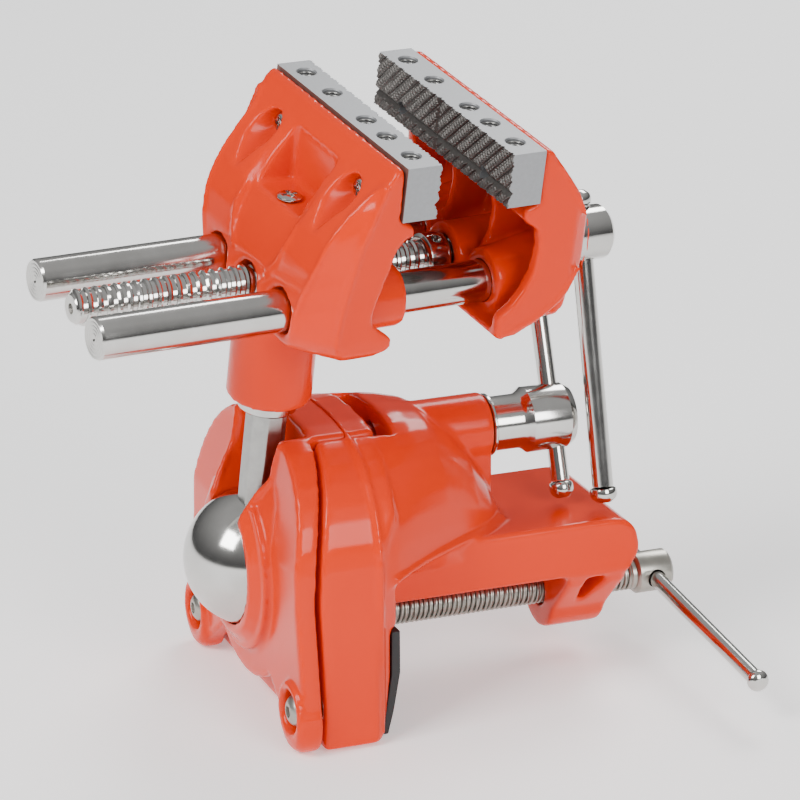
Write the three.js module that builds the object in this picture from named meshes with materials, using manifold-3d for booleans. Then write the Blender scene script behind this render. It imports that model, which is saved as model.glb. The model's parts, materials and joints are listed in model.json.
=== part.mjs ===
// Clamp-on bench vise with a ball head, in millimetres, +Z up.
//
// Row origin: centre of the rubber pad's flat face, which presses on the bench edge.
// +Y runs under the bench edge along the clamp screw, +X runs across the vise, +Z is up.
// The base is built about the centre of the ball. The head (both jaws, rods and spindle) is
// built upright about the same point and then turned in its socket to its working pose.
import * as THREE from 'three';
import { mergeVertices } from 'three/addons/utils/BufferGeometryUtils.js';
import Module from 'manifold-3d';

const wasm = await Module();
wasm.setup();

// ---------------------------------------------------------------- driving dimensions
const gap = 0.3;                 // clearance between pieces that touch
const runGap = 0.4;              // clearance round a piece that turns or slides
const fine = 24;                 // segments round a large cylinder
const coarse = 14;               // segments round a small one
const sphereSteps = [28, 18];    // segments round the ball and down it

// head pose on the ball, degrees
const headLean = 9.95;           // about +Y, towards +X
const headTilt = -2.92;          // about +X, away from the user
const headSpin = 8.62;           // about the post

// ball and post, heights above the ball centre
const ballRadius = 20;
const postRadius = 6;
const collarBase = 48.6;
const collarHeight = 3;
const collarRadius = 8.6;
const postTop = 76;

// jaws
const jawWidth = 75;
const jawOpening = 22.2;
const plateDepth = 10.7;
const plateHeight = 15.9;
const plateBase = 120.65;
const fixedFace = 25;            // Y of the fixed plate's gripping face
const plateHoles = [7.5 - jawWidth / 2, 22.5 - jawWidth / 2, 4.5, 16, jawWidth / 2 - 8];
const plateHoleRadius = 2.6;
const plateHoleDepth = 9;
const plateScrewX = jawWidth / 2 - 14.7;
const plateScrewZ = 125.2;
const plateScrewShank = 1.35;
const grooveZ = 124.9;           // horizontal groove across the gripping face
const grooveHalf = 1.1;
const uprightGrooveX = -3;

// rods and spindle
const rodRadius = 6;
const rodX = 18.6;
const rodZ = 89.2;
const rodFront = -66.4;
const rodBack = 74;
const spindleZ = 89.1;
const spindleRadius = 5.3;
const spindleFront = -64.3;
const spindleHeadRadius = spindleRadius + 2.7;
const spindleHeadFront = 84.5;
const spindleHeadBack = 106.4;

// jaw bodies
const bodyTop = plateBase + plateHeight - 0.55;
const bodyHalf = jawWidth / 2 - gap;
const bodyWall = 4;
const sleeveRadius = 12.2;
const sleeveBase = collarBase + 3.6;
const fixedBack = fixedFace - plateDepth - gap;    // Y of the face behind the fixed plate
const plateScrewSeat = fixedBack - bodyWall;       // Y of a plate screw's pocket floor
const ledgeDepth = 5;
const rodBossRadius = 9;
const rodBossBack = 25.5;
const recessHalf = 12;           // notch in the front for the nut screw
const recessBack = 8;
const recessFloor = 113.3;
const recessTop = 129.6;
const nutWidth = 2 * spindleRadius + 4.4;
const nutFront = -5;
const nutBack = 9;
const nutScrewY = 0.5;
const nutScrewRadius = 1.9;
const nutScrewHead = 3.6;
const nutScrewTip = spindleZ + spindleRadius + 1;    // clear of the spindle thread
const movingBossFront = 54;
const spindleCollarFront = 44.5;
const spindleCollarLength = 7.5;
const spindleCollarRadius = spindleRadius + 1.6;
const movingFloor = spindleZ - spindleCollarRadius - runGap;

// base casting and socket cover, about the ball centre
const blockHalf = 46;
const footHalf = blockHalf + 2.4; // the block widens towards its cover screws
const blockTop = 42;
const blockBottom = -42.4;
const archPower = 2.5;           // how square the shoulders are
const partingY = 4.3;            // parting face below the ball centre
const partingRadius = 90;        // above it the parting face leans back on this radius
const partingGap = 1.4;
const flangeHalf = 41;
const socketGap = 0.35;
const rimFront = -7.5;
const rimRadius = ballRadius + 6;
const flangeFront = -3;
const tabHalf = 18.7;
const tabBottom = ballRadius + 1;
const bossX = blockHalf - 3.6;
const bossZ = -31;
const bossFront = -4.6;
const bossRadius = 9;
const buttonRadius = 4.7;
const buttonHeight = 2.6;
const coverScrewRadius = 2.6;
const pocketRadius = ballRadius + 1;
const pocketBack = ballRadius + 3;
const padBack = pocketBack + 3.2;          // Y of the casting behind the bench pad
const padSeat = [[padBack, -11.2], [padBack - 0.2, -24], [padBack - 2, -35.6],
  [padBack - 3.8, blockBottom]];
const sideBack = padBack - 3.7;            // where the block's sides turn in to the flange
const flangeBack = padBack + 2.6;
const slotBack = flangeBack + 7.4;
const tabBack = slotBack - 5.2;
const domeBack = 75.5;
const armHalf = 25.2;
const armTop = 5.5;
const armBottom = -10.9;
const armBack = 111;
const lugFront = armBack - 22;
const lugBottom = -35;
const lockZ = ballRadius + 10.6;
const lockRadius = 5;
const lockHeadRadius = 9.7;
const lockSleeveRadius = 8;
const barrelRadius = 9.8;
const barrelBack = 71.8;
const lockHeadBack = barrelBack + 27.4;

// clamp screw, pads and bars
const clampZ = -22.8;
const clampRadius = 4.8;
const clampHeadRadius = 6.2;
const clampHeadY = armBack + 14.6;
const clampHeadHalf = 5.8;
const padThickness = 2.8;
const padHalf = footHalf - 5.4;
const footFront = padBack + 8;
const footRadius = 10.8;
const footThickness = 4.2;

// bars: y of the cross hole, turn about Y in radians, and how far each is slid along itself
const lockBar = { radius: 2.75, length: 52, knob: 3.6, height: 5, turn: -0.353, slide: 7 };
const clampBar = { radius: 2.5, length: 88, knob: 3.3, height: 3.4, turn: 1.659, slide: 29.5 };
const mainBar = { radius: 3.1, length: 82, knob: 4, height: 4.6, turn: -0.396 };
lockBar.y = lockHeadBack - 5.6;
clampBar.y = clampHeadY;
mainBar.y = spindleHeadBack - 7.4;
mainBar.slide = spindleHeadRadius - 0.2 - mainBar.length / 2;    // hangs on its top button

const benchFaceY = padSeat[0][0] + padThickness;
const benchFaceZ = (padSeat[0][1] + padSeat[1][1]) / 2;

const enamel = { color: '#f5481f', roughness: 0.28, metalness: 0 };
const chrome = { color: '#d6d6d4', roughness: 0.15, metalness: 1 };
const castSteel = { color: '#9b9c9d', roughness: 0.5, metalness: 0.9 };
const zincSteel = { color: '#a5a39c', roughness: 0.35, metalness: 0.9 };
const blackRubber = { color: '#262726', roughness: 0.7, metalness: 0 };
const brass = { color: '#b9974e', roughness: 0.35, metalness: 0.9 };

// ---------------------------------------------------------------- solids
function solid(geometry) {
  const bare = geometry.clone();
  bare.deleteAttribute('normal');
  bare.deleteAttribute('uv');
  const merged = mergeVertices(bare, 1e-4);
  const vertProperties = new Float32Array(merged.attributes.position.array);
  const triVerts = new Uint32Array(merged.index.array);
  return new wasm.Manifold(new wasm.Mesh({ numProp: 3, vertProperties, triVerts }));
}

function toGeometry(manifold) {
  const mesh = manifold.getMesh();
  const geometry = new THREE.BufferGeometry();
  geometry.setAttribute('position', new THREE.BufferAttribute(new Float32Array(mesh.vertProperties), 3));
  geometry.setIndex(new THREE.BufferAttribute(new Uint32Array(mesh.triVerts), 1));
  geometry.computeVertexNormals();
  return geometry;
}

function box([x0, x1], [y0, y1], [z0, z1]) {
  const geometry = new THREE.BoxGeometry(x1 - x0, y1 - y0, z1 - z0);
  return solid(geometry.translate((x0 + x1) / 2, (y0 + y1) / 2, (z0 + z1) / 2));
}

// A turned piece along +Y through (x, z): pairs of [radius, y], first and last on the axis.
function turnedY(profile, x = 0, z = 0, segments = fine) {
  const points = profile.map(([radius, y]) => new THREE.Vector2(radius, y));
  return solid(new THREE.LatheGeometry(points, segments).translate(x, 0, z));
}

function rodY(radius, y0, y1, x = 0, z = 0, segments = fine) {
  return turnedY([[0, y0], [radius, y0], [radius, y1], [0, y1]], x, z, segments);
}

function pinZ(radius, z0, z1, x = 0, y = 0, segments = fine) {
  const geometry = new THREE.CylinderGeometry(radius, radius, z1 - z0, segments);
  return solid(geometry.rotateX(Math.PI / 2).translate(x, y, (z0 + z1) / 2));
}

function extruded(outline, depth) {
  const shape = new THREE.Shape(outline.map(([u, v]) => new THREE.Vector2(u, v)));
  return new THREE.ExtrudeGeometry(shape, { depth, bevelEnabled: false, curveSegments: 8 });
}

// Outline of [y, z] pairs, drawn out along X.
function prismX(outline, x0, x1) {
  const geometry = extruded(outline, x1 - x0);
  const turn = new THREE.Matrix4().set(0, 0, 1, x0, 1, 0, 0, 0, 0, 1, 0, 0, 0, 0, 0, 1);
  return solid(geometry.applyMatrix4(turn));
}

// Outline of [x, z] pairs, drawn out along Y.
function prismY(outline, y0, y1) {
  const geometry = extruded(outline.map(([x, z]) => [x, -z]), y1 - y0);
  const turn = new THREE.Matrix4().set(1, 0, 0, 0, 0, 0, 1, y0, 0, -1, 0, 0, 0, 0, 0, 1);
  return solid(geometry.applyMatrix4(turn));
}

// Outline of [x, y] pairs, drawn out along Z.
function prismZ(outline, z0, z1) {
  return solid(extruded(outline, z1 - z0).translate(0, 0, z0));
}

// A closed skin over rings of equal length; each ring is a flat closed outline of Vector3.
function loft(rings) {
  const count = rings[0].length;
  const positions = rings.flat().flatMap((point) => [point.x, point.y, point.z]);
  const index = [];
  for (let ring = 0; ring + 1 < rings.length; ring += 1) {
    for (let step = 0; step < count; step += 1) {
      const next = (step + 1) % count;
      const a = ring * count + step;
      const b = ring * count + next;
      index.push(a, b, b + count, a, b + count, a + count);
    }
  }
  for (let step = 1; step + 1 < count; step += 1) {
    const top = (rings.length - 1) * count;
    index.push(0, step + 1, step, top, top + step, top + step + 1);
  }
  const geometry = new THREE.BufferGeometry();
  geometry.setAttribute('position', new THREE.Float32BufferAttribute(positions, 3));
  geometry.setIndex(index);
  return solid(geometry);
}

// Shoulder outline as [x, z] pairs from (half, 0) over the top to (-half, 0).
function arch(half, height, base = 0, steps = 20) {
  const points = [];
  for (let step = 0; step <= steps; step += 1) {
    const angle = (Math.PI * step) / steps;
    const x = Math.sign(Math.cos(angle)) * half * Math.abs(Math.cos(angle)) ** (2 / archPower);
    const z = base + (height - base) * Math.sin(angle) ** (2 / archPower);
    points.push([step === steps / 2 ? 0 : x, z]);
  }
  return points;
}

const meshes = [];

function piece(name, body, finish) {
  const material = new THREE.MeshStandardMaterial(finish);
  const mesh = new THREE.Mesh(toGeometry(body), material);
  mesh.name = name;
  meshes.push(mesh);
  return mesh;
}

// ---------------------------------------------------------------- base casting
// The parting face: upright below the ball centre, leaning back on a radius above it.
function partingProfile(offset) {
  const profile = [[partingY + offset, blockBottom - 10], [partingY + offset, 0]];
  for (let z = 8; z <= 56; z += 8) {
    profile.push([partingY + offset + (z * z) / (2 * partingRadius), z]);
  }
  return profile;
}

function behindParting(offset) {
  const far = armBack + 20;
  return prismX([...partingProfile(offset), [far, 56], [far, blockBottom - 10]], -80, 80);
}

function bodyOutline() {
  return [...arch(blockHalf, blockTop), [-footHalf, bossZ + 4], [-footHalf, blockBottom],
    [footHalf, blockBottom], [footHalf, bossZ + 4]];
}

function dome() {
  const sections = [
    // y, half-width, top, lowest point of the flank
    [sideBack - 1, blockHalf - 0.2, blockTop, 1],
    [flangeBack, 43, blockTop, 3],
    [35, 39, blockTop + 0.2, 5],
    [42, 34.5, blockTop - 0.2, 5],
    [49, 30, blockTop - 1.6, 5],
    [56, 25.4, 35, 4],
    [62, 21.5, 29, 3],
    [68, 17, 19.5, 2],
    [73, 12, 9.5, 1],
    [domeBack, 8, 4, 0],
  ];
  const rings = sections.map(([y, half, top, low]) => {
    const inner = Math.min(half, armHalf) - 0.2;
    const ring = [new THREE.Vector3(0, y, -2), new THREE.Vector3(-inner, y, -2)];
    const over = arch(half, top, low, 20).reverse();
    over.forEach(([x, z]) => ring.push(new THREE.Vector3(x, y, z)));
    ring.push(new THREE.Vector3(inner, y, -2));
    return ring;
  });
  return loft(rings);
}

function arm() {
  const corner = 8;
  const height = armTop - armBottom;
  const outline = [[flangeBack - 6, armBottom], [flangeBack - 6, armTop]];
  const steps = 6;
  for (let step = 0; step <= steps; step += 1) {
    const angle = (Math.PI / 2) * (1 - step / steps);
    outline.push([armBack - corner + corner * Math.cos(angle), armTop - corner + corner * Math.sin(angle)]);
  }
  outline.push([armBack, armBottom + height * 0.3], [armBack - 3, armBottom]);
  return prismX(outline, -armHalf, armHalf);
}

// The lug hangs under the far end of the arm and carries the clamp screw's thread.
function lug() {
  const steps = 8;
  const round = 12;
  const outline = [[armHalf - 0.01, armBottom + 1], [armHalf - 3, armBottom - 4]];
  for (let step = 0; step <= steps; step += 1) {
    const angle = -0.25 - ((Math.PI - 0.5) * step) / steps;
    outline.push([round * Math.cos(angle), clampZ + round * Math.sin(angle)]);
  }
  outline.push([-(armHalf - 3), armBottom - 4], [-(armHalf - 0.01), armBottom + 1]);
  const back = prismX([[lugFront, armBottom + 2], [armBack - 3, armBottom + 2], [armBack - 3, armBottom],
    [lugFront + 17, lugBottom - 1], [lugFront, lugBottom - 1]], -40, 40);
  const plate = prismY(outline, lugFront, armBack).intersect(back);
  // triangular pockets lighten both sides behind the front plate
  const pocket = [[lugFront + 6, armBottom - 1.5], [armBack - 9, armBottom - 1.5],
    [lugFront + 7, armBottom - 14]];
  const near = prismX(pocket, 9, 40);
  const far = prismX(pocket, -40, -9);
  return plate.subtract(near).subtract(far);
}

function clampBody() {
  const plan = [[-footHalf, -12], [footHalf, -12], [footHalf, sideBack - 2], [blockHalf, sideBack],
    [flangeHalf, flangeBack], [-flangeHalf, flangeBack], [-blockHalf, sideBack],
    [-footHalf, sideBack - 2]];
  const side = prismX([[-12, blockTop + 2], [flangeBack, blockTop + 2], [flangeBack, padSeat[0][1]],
    ...padSeat, [-12, blockBottom]], -60, 60);
  let body = prismY(bodyOutline(), -12, flangeBack);
  body = body.intersect(prismZ(plan, blockBottom - 1, blockTop + 2));
  body = body.intersect(side).intersect(behindParting(0));
  body = body.add(dome()).add(arm()).add(lug());
  body = body.add(rodY(barrelRadius, 44, barrelBack, 0, lockZ));
  body = body.add(box([-7.5, 7.5], [44, barrelBack], [armTop - 2, lockZ]));
  // slot for the cover's tab
  const slotHalf = tabHalf + runGap;
  body = body.subtract(box([-slotHalf, slotHalf], [-20, slotBack], [tabBottom - 1, 60]));
  // pocket for the ball seat, bore for the lock screw, threads for the clamp and cover screws
  body = body.subtract(rodY(pocketRadius, -20, pocketBack));
  body = body.subtract(rodY(lockRadius + runGap, slotBack - 2, barrelBack + 2, 0, lockZ));
  body = body.subtract(rodY(clampRadius + gap, lugFront - 2, armBack + 2, 0, clampZ));
  for (const side of [-1, 1]) {
    body = body.subtract(rodY(coverScrewRadius + gap, -2, 17, side * bossX, bossZ, coarse));
  }
  return body;
}

// ---------------------------------------------------------------- socket cover
function coverOutline() {
  const lobe = [];
  const steps = 8;
  for (let step = 0; step <= steps; step += 1) {
    const angle = -0.15 - ((Math.PI - 0.6) * step) / steps;
    lobe.push([bossX + bossRadius * Math.cos(angle), bossZ - 3.4 + bossRadius * Math.sin(angle)]);
  }
  const belly = [];
  for (let step = 1; step < 8; step += 1) {
    const angle = -0.72 - ((Math.PI - 1.44) * step) / 8;
    belly.push([(ballRadius + 15) * Math.cos(angle), (ballRadius + 15) * Math.sin(angle)]);
  }
  const left = lobe.map(([x, z]) => [-x, z]).reverse();
  return [...arch(blockHalf, blockTop).reverse(), [footHalf + 1.8, bossZ + 4], ...lobe, ...belly, ...left,
    [-footHalf - 1.8, bossZ + 4]];
}

function socketCover() {
  // flange and shoulders in front of the parting face
  let body = prismY(coverOutline(), flangeFront, 30);
  body = body.subtract(behindParting(-partingGap));
  // the top leans back, and the flange's front edge is bevelled
  const lean = prismX([[-20, 60], [-20, 10], [flangeFront, 10], [2, blockTop - 6], [4.5, 60]], -80, 80);
  body = body.subtract(lean);
  // raised ring round the ball and the bowl below it
  const bowl = turnedY([[0, rimFront - 2], [17, rimFront - 2], [rimRadius - 3, rimFront + 0.5],
    [rimRadius + 1, flangeFront], [rimRadius + 8, flangeFront + 3.5],
    [rimRadius + 8, partingY - partingGap], [0, partingY - partingGap]]);
  body = body.add(bowl);
  // tab that the lock screw draws back
  const tab = box([-tabHalf, tabHalf], [3, tabBack], [tabBottom, 60]);
  body = body.add(tab.intersect(prismY(bodyOutline(), 3, tabBack)));
  for (const side of [-1, 1]) {
    body = body.add(rodY(bossRadius, bossFront, partingY - partingGap, side * bossX, bossZ - 2));
    const seat = bossFront + 3.4;
    const x = side * bossX;
    body = body.subtract(rodY(buttonRadius + 1.4, bossFront - 5, seat, x, bossZ, coarse));
    body = body.subtract(rodY(coverScrewRadius + runGap, bossFront - 5, 12, x, bossZ, coarse));
  }
  // ball socket, room for the seat, slot for the post and thread for the lock screw
  body = body.subtract(solid(new THREE.SphereGeometry(ballRadius + socketGap, ...sphereSteps)));
  body = body.subtract(rodY(pocketRadius, partingY - 1.5, 24));
  const slot = [[-9.5, 0], [9.5, 0], [10.5, 14], [15.5, 28], [15.5, 38], [19, 46], [-19, 46], [-15.5, 38],
    [-15.5, 28], [-10.5, 14]];
  body = body.subtract(prismY(slot, -30, 11.5));
  body = body.subtract(rodY(lockRadius + gap, 14, tabBack + 2, 0, lockZ));
  return body;
}

// ---------------------------------------------------------------- base group
const base = new THREE.Group();
base.add(piece('clamp_body', clampBody(), enamel));
base.add(piece('socket_cover', socketCover(), enamel));

// ---------------------------------------------------------------- base hardware
// The seat is the cup behind the ball that its swivel turns in.
function ballSeat() {
  const front = partingY + 3.4;
  const cup = rodY(pocketRadius - runGap, front, pocketBack - gap);
  return cup.subtract(solid(new THREE.SphereGeometry(ballRadius + socketGap, ...sphereSteps)))
    .subtract(box([-30, 30], [front - 1, 30], [tabBottom - 2, 30]));
}

// Button-head screw with a hexagon socket, along +Y, head at the front.
function buttonScrew(x, z, back) {
  const seat = bossFront + 3.4 - gap;
  const body = turnedY([[0, seat - buttonHeight], [buttonRadius * 0.55, seat - buttonHeight],
    [buttonRadius * 0.9, seat - buttonHeight * 0.6], [buttonRadius, seat - 0.3], [buttonRadius, seat],
    [coverScrewRadius, seat], [coverScrewRadius, back], [0, back]], x, z, coarse);
  const socket = solid(new THREE.CylinderGeometry(1.7, 1.7, 3, 6).translate(x, seat - buttonHeight, z));
  return body.subtract(socket);
}

// Button on one end of a bar that lies along the local Z axis.
function knobSolid({ knob: radius, height, length }, end) {
  const seat = length / 2 + gap;
  const tip = seat + height;
  const rim = seat + height * 0.55;
  const profile = [[0, seat], [radius, seat], [radius, rim], [radius * 0.6, tip], [0, tip]];
  const points = profile.map(([r, z]) => new THREE.Vector2(r, z));
  const button = solid(new THREE.LatheGeometry(points, coarse).rotateX(Math.PI / 2));
  return end > 0 ? button : button.mirror([0, 0, 1]);
}

// Head of a screw crossed by a bar: a turned profile along +Y with a cross hole at y = hole.
function crossHead(profile, hole, barRadius, direction, z) {
  const body = turnedY(profile, 0, z);
  const drill = new THREE.CylinderGeometry(barRadius + runGap, barRadius + runGap, 60, coarse);
  drill.rotateX(Math.PI / 2).rotateY(direction).translate(0, hole, z);
  return body.subtract(solid(drill));
}


// Bar and knobs stand in a group at the cross hole, turned about Y and slid along themselves.
function barGroup(prefix, bar, z) {
  const group = new THREE.Group();
  group.position.set(0, bar.y, z);
  group.rotation.y = bar.turn;
  const slider = new THREE.Group();
  slider.position.z = bar.slide;
  const rod = pinZ(bar.radius, -bar.length / 2, bar.length / 2, 0, 0, coarse);
  slider.add(piece(`${prefix}_bar`, rod, chrome));
  slider.add(piece(`${prefix}_bar_knob_top`, knobSolid(bar, 1), chrome));
  slider.add(piece(`${prefix}_bar_knob_end`, knobSolid(bar, -1), chrome));
  group.add(slider);
  return group;
}

function lockScrew() {
  const shoulder = barrelBack + 1.4 + gap;
  const profile = [[0, tabBack - 12], [lockRadius, tabBack - 12], [lockRadius, shoulder],
    [lockSleeveRadius, shoulder], [lockSleeveRadius, lockHeadBack - 17.2],
    [lockHeadRadius, lockHeadBack - 14.7], [lockHeadRadius, lockHeadBack - 3],
    [lockHeadRadius - 1.2, lockHeadBack - 0.9], [lockHeadRadius - 3.4, lockHeadBack],
    [0, lockHeadBack]];
  return crossHead(profile, lockBar.y, lockBar.radius, lockBar.turn, lockZ);
}

function lockWasher() {
  return rodY(lockSleeveRadius + 1.2, barrelBack + gap, barrelBack + 1.4, 0, lockZ)
    .subtract(rodY(lockRadius + runGap, barrelBack - 2, barrelBack + 4, 0, lockZ));
}

function clampScrew() {
  const neck = 3;
  const front = footFront + footThickness / 2;
  const profile = [[0, front + gap], [neck, front + gap], [neck, footFront + footThickness + 1.4],
    [clampRadius, footFront + footThickness + 2.4], [clampRadius, clampHeadY - clampHeadHalf],
    [clampHeadRadius, clampHeadY - clampHeadHalf], [clampHeadRadius, clampHeadY + clampHeadHalf - 1],
    [clampHeadRadius - 1, clampHeadY + clampHeadHalf], [0, clampHeadY + clampHeadHalf]];
  return crossHead(profile, clampHeadY, clampBar.radius, clampBar.turn, clampZ);
}

function clampFoot() {
  const back = footFront + footThickness;
  return turnedY([[0, footFront], [footRadius - 0.8, footFront], [footRadius, footFront + 0.8],
    [footRadius, footFront + 2.6], [6.4, back], [6.4, back + 1], [3 + gap, back + 1],
    [3 + gap, footFront + footThickness / 2], [0, footFront + footThickness / 2]], 0, clampZ);
}

function benchPad() {
  const face = benchFaceY;
  const [top, flat, bend, bottom] = padSeat;
  const seat = padSeat.map(([y, z]) => [y + gap, z]);
  seat[0][1] -= gap;
  const outline = [...seat, [bottom[0] + padThickness, bottom[1]],
    [bend[0] + padThickness * 0.98, bend[1]], [face, flat[1]], [face, top[1] - gap]];
  return prismX(outline, -padHalf, padHalf);
}

base.add(piece('ball_seat', ballSeat(), zincSteel));
base.add(piece('cover_screw_left', buttonScrew(-bossX, bossZ, 16), zincSteel));
base.add(piece('cover_screw_right', buttonScrew(bossX, bossZ, 16), zincSteel));
base.add(piece('lock_washer', lockWasher(), chrome));
base.add(piece('lock_screw', lockScrew(), chrome));
base.add(barGroup('lock', lockBar, lockZ));
base.add(piece('bench_pad', benchPad(), blackRubber));
base.add(piece('clamp_foot', clampFoot(), zincSteel));
base.add(piece('clamp_screw', clampScrew(), zincSteel));
base.add(barGroup('clamp', clampBar, clampZ));

// ---------------------------------------------------------------- post and ball
function ballStud() {
  const ball = solid(new THREE.SphereGeometry(ballRadius, ...sphereSteps).rotateX(Math.PI / 2));
  const post = new THREE.CylinderGeometry(postRadius, postRadius, collarBase - 10, 8);
  post.rotateX(Math.PI / 2).rotateZ(Math.PI / 8).translate(0, 0, (collarBase + 10) / 2);
  return ball.add(solid(post)).add(pinZ(postRadius - 0.5, collarBase - 1, postTop));
}

function postCollar() {
  return pinZ(collarRadius, collarBase + gap, collarBase + gap + collarHeight)
    .subtract(pinZ(postRadius - 0.5 + gap, collarBase - 2, collarBase + 8));
}

// ---------------------------------------------------------------- fixed jaw
// Level sections of the front shield from the bottom up. Each gives z, how far the side edge and
// the crease of the flank lie inside bodyHalf, and the Y of the crease, the middle and the edge.
const fixedSections = [
  [79.1, 3.2, 15.5, -8.6, -9.5, 2],
  [81.6, 0.6, 13.5, -9.8, -10.8, 0],
  [85.6, 0, 12, -10.3, -11.4, -2.2],
  [90.6, 0, 10.6, -10.4, -11.3, -2],
  [98, 0, 8.1, -10, -10.2, -1],
  [106, 0, 6, -8.3, -7, 0.8],
  [114, 0, 5.5, -5, -3.2, 2.6],
  [121, 0, 5.1, -0.3, 0.9, 5.1],
  [127, 0, 4.3, 5.2, 5.6, 7.3],
  [131, 0, 2, 8.3, 8.2, 8.8],
  [134.4, 0, 0.8, 10.6, 10.4, 10.6],
  [bodyTop, 0.6, 1.2, 11.6, 11.4, 11.6],
];

// One level ring of the shield, from the middle of its back round by the left. The middle panel
// is set back between the two swelling flanks.
function shieldSection([z, sideIn, creaseIn, creaseY, middle, side], back, inset) {
  const half = bodyHalf - sideIn - inset;
  const crease = bodyHalf - creaseIn - inset * 0.8;
  const left = [[-half, back], [-half, side + inset], [-crease, creaseY + inset],
    [-crease * 0.5, creaseY + inset], [-crease * 0.42, middle + inset]];
  const right = left.map(([x, y]) => [-x, y]).reverse();
  const points = [[0, back], ...left, [0, middle + inset], ...right];
  return points.map(([x, y]) => new THREE.Vector3(x, y, z));
}

// Side view of the fixed jaw: plate seat, ledge, hollowed flank and the claw at the bottom.
function fixedSideView() {
  const ledge = fixedBack + ledgeDepth;
  return [[-30, 72], [9, 72], [12.5, 80.2], [15.5, 82.5], [15.5, 85.4], [11.5, 88.3], [8.6, 90.7],
    [8.6, 94], [9.3, 96.3], [11.2, 102.4], [12.9, 107.2], [14, 112.1], [16.6, 115.2], [ledge, 115.8],
    [ledge, 118.3],
    [fixedBack + 1, plateBase - gap], [fixedBack, plateBase - gap], [fixedBack, bodyTop + 2],
    [-30, bodyTop + 2]];
}

function fixedJaw() {
  const back = 30;
  const shield = loft(fixedSections.map((section) => shieldSection(section, back, 0)));
  let body = shield.intersect(prismX(fixedSideView(), -60, 60));
  const hollow = loft(fixedSections.slice(1, 7).map((section) => shieldSection(section, back, bodyWall)));
  const webs = box([-12.5, -10.5], [-20, 12], [94, 120]).add(box([10.5, 12.5], [-20, 12], [94, 120]));
  const shelf = box([-recessHalf - 3, recessHalf + 3], [-20, fixedBack], [recessFloor - 4, recessTop]);
  body = body.subtract(hollow.subtract(webs).subtract(shelf));
  // bosses for the rods, block for the nut and its screw, sleeve for the post
  for (const side of [-1, 1]) {
    body = body.add(rodY(rodBossRadius, -10, rodBossBack, side * rodX, rodZ));
  }
  const nutBlock = shield.intersect(box([-11.5, 11.5], [-30, nutBack + 2],
    [spindleZ - nutWidth / 2 - 2, recessFloor - 2]));
  const sleeve = pinZ(sleeveRadius, sleeveBase + 3, 80.5).add(pinZ(sleeveRadius - 1.2, sleeveBase + 1, 60));
  body = body.add(nutBlock).add(sleeve).add(pinZ(sleeveRadius - 3, sleeveBase, 60));
  body = body.subtract(box([-recessHalf, recessHalf], [-30, recessBack], [recessFloor, recessTop]));
  for (const side of [-1, 1]) {
    body = body.subtract(rodY(rodRadius + runGap, -40, 40, side * rodX, rodZ));
    body = body.subtract(teardrop(side * plateScrewX));
    body = body.subtract(rodY(plateScrewShank + gap, 0, 30, side * plateScrewX, plateScrewZ, coarse));
  }
  const nutSpace = nutWidth / 2 + gap;
  body = body.subtract(rodY(spindleRadius + 1, -40, 40, 0, spindleZ));
  const nutRoom = [spindleZ - nutSpace, spindleZ + nutSpace];
  body = body.subtract(box([-nutSpace, nutSpace], [nutFront - gap, 40], nutRoom));
  body = body.subtract(pinZ(nutScrewRadius + gap, spindleZ, recessFloor + 2, 0, nutScrewY, coarse));
  return body.subtract(pinZ(postRadius - 0.5 + gap, sleeveBase - 2, postTop + gap));
}

// Pocket for a plate screw, round above and pointed below, wider towards the front.
function teardrop(x) {
  const ring = (y, radius, drop) => {
    const points = [new THREE.Vector3(x, y, plateScrewZ - drop)];
    for (let step = 0; step <= 8; step += 1) {
      const angle = -0.5 + ((Math.PI + 1) * step) / 8;
      const z = plateScrewZ + radius * Math.sin(angle);
      points.push(new THREE.Vector3(x - radius * Math.cos(angle), y, z));
    }
    return points;
  };
  return loft([ring(-10, 8.6, 14), ring(plateScrewSeat, 3.8, 4.4)]);
}

// ---------------------------------------------------------------- moving jaw
// Side view of the moving jaw, drawn round the crescent of its cheek.
function movingSideView(face) {
  const ledge = face - ledgeDepth + 0.6;
  return [[face, bodyTop], [face, plateBase - gap], [ledge, 119], [ledge, 116], [face - 2.6, 114.3],
    [face + 0.8, 112.2], [face + 1.8, 106.5], [face + 1.1, 99.9], [face - 1.3, 94.2],
    [face - 4.6, 89.7], [face - 8.7, 86.7], [face - 8.9, movingFloor - 1.4],
    [face - 7.6, movingFloor - 2.5], [face - 1.5, movingFloor - 1.2], [face + 4.7, 83.8],
    [face + 10.7, 88.1], [face + 15.8, 93.5], [face + 18.8, 99.9], [face + 20.1, 107.1],
    [face + 18.5, 113.4], [face + 14.4, 120.6], [face + 8.8, 127.9], [face + 4.4, 133.4],
    [face + 2.4, bodyTop]];
}

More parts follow.
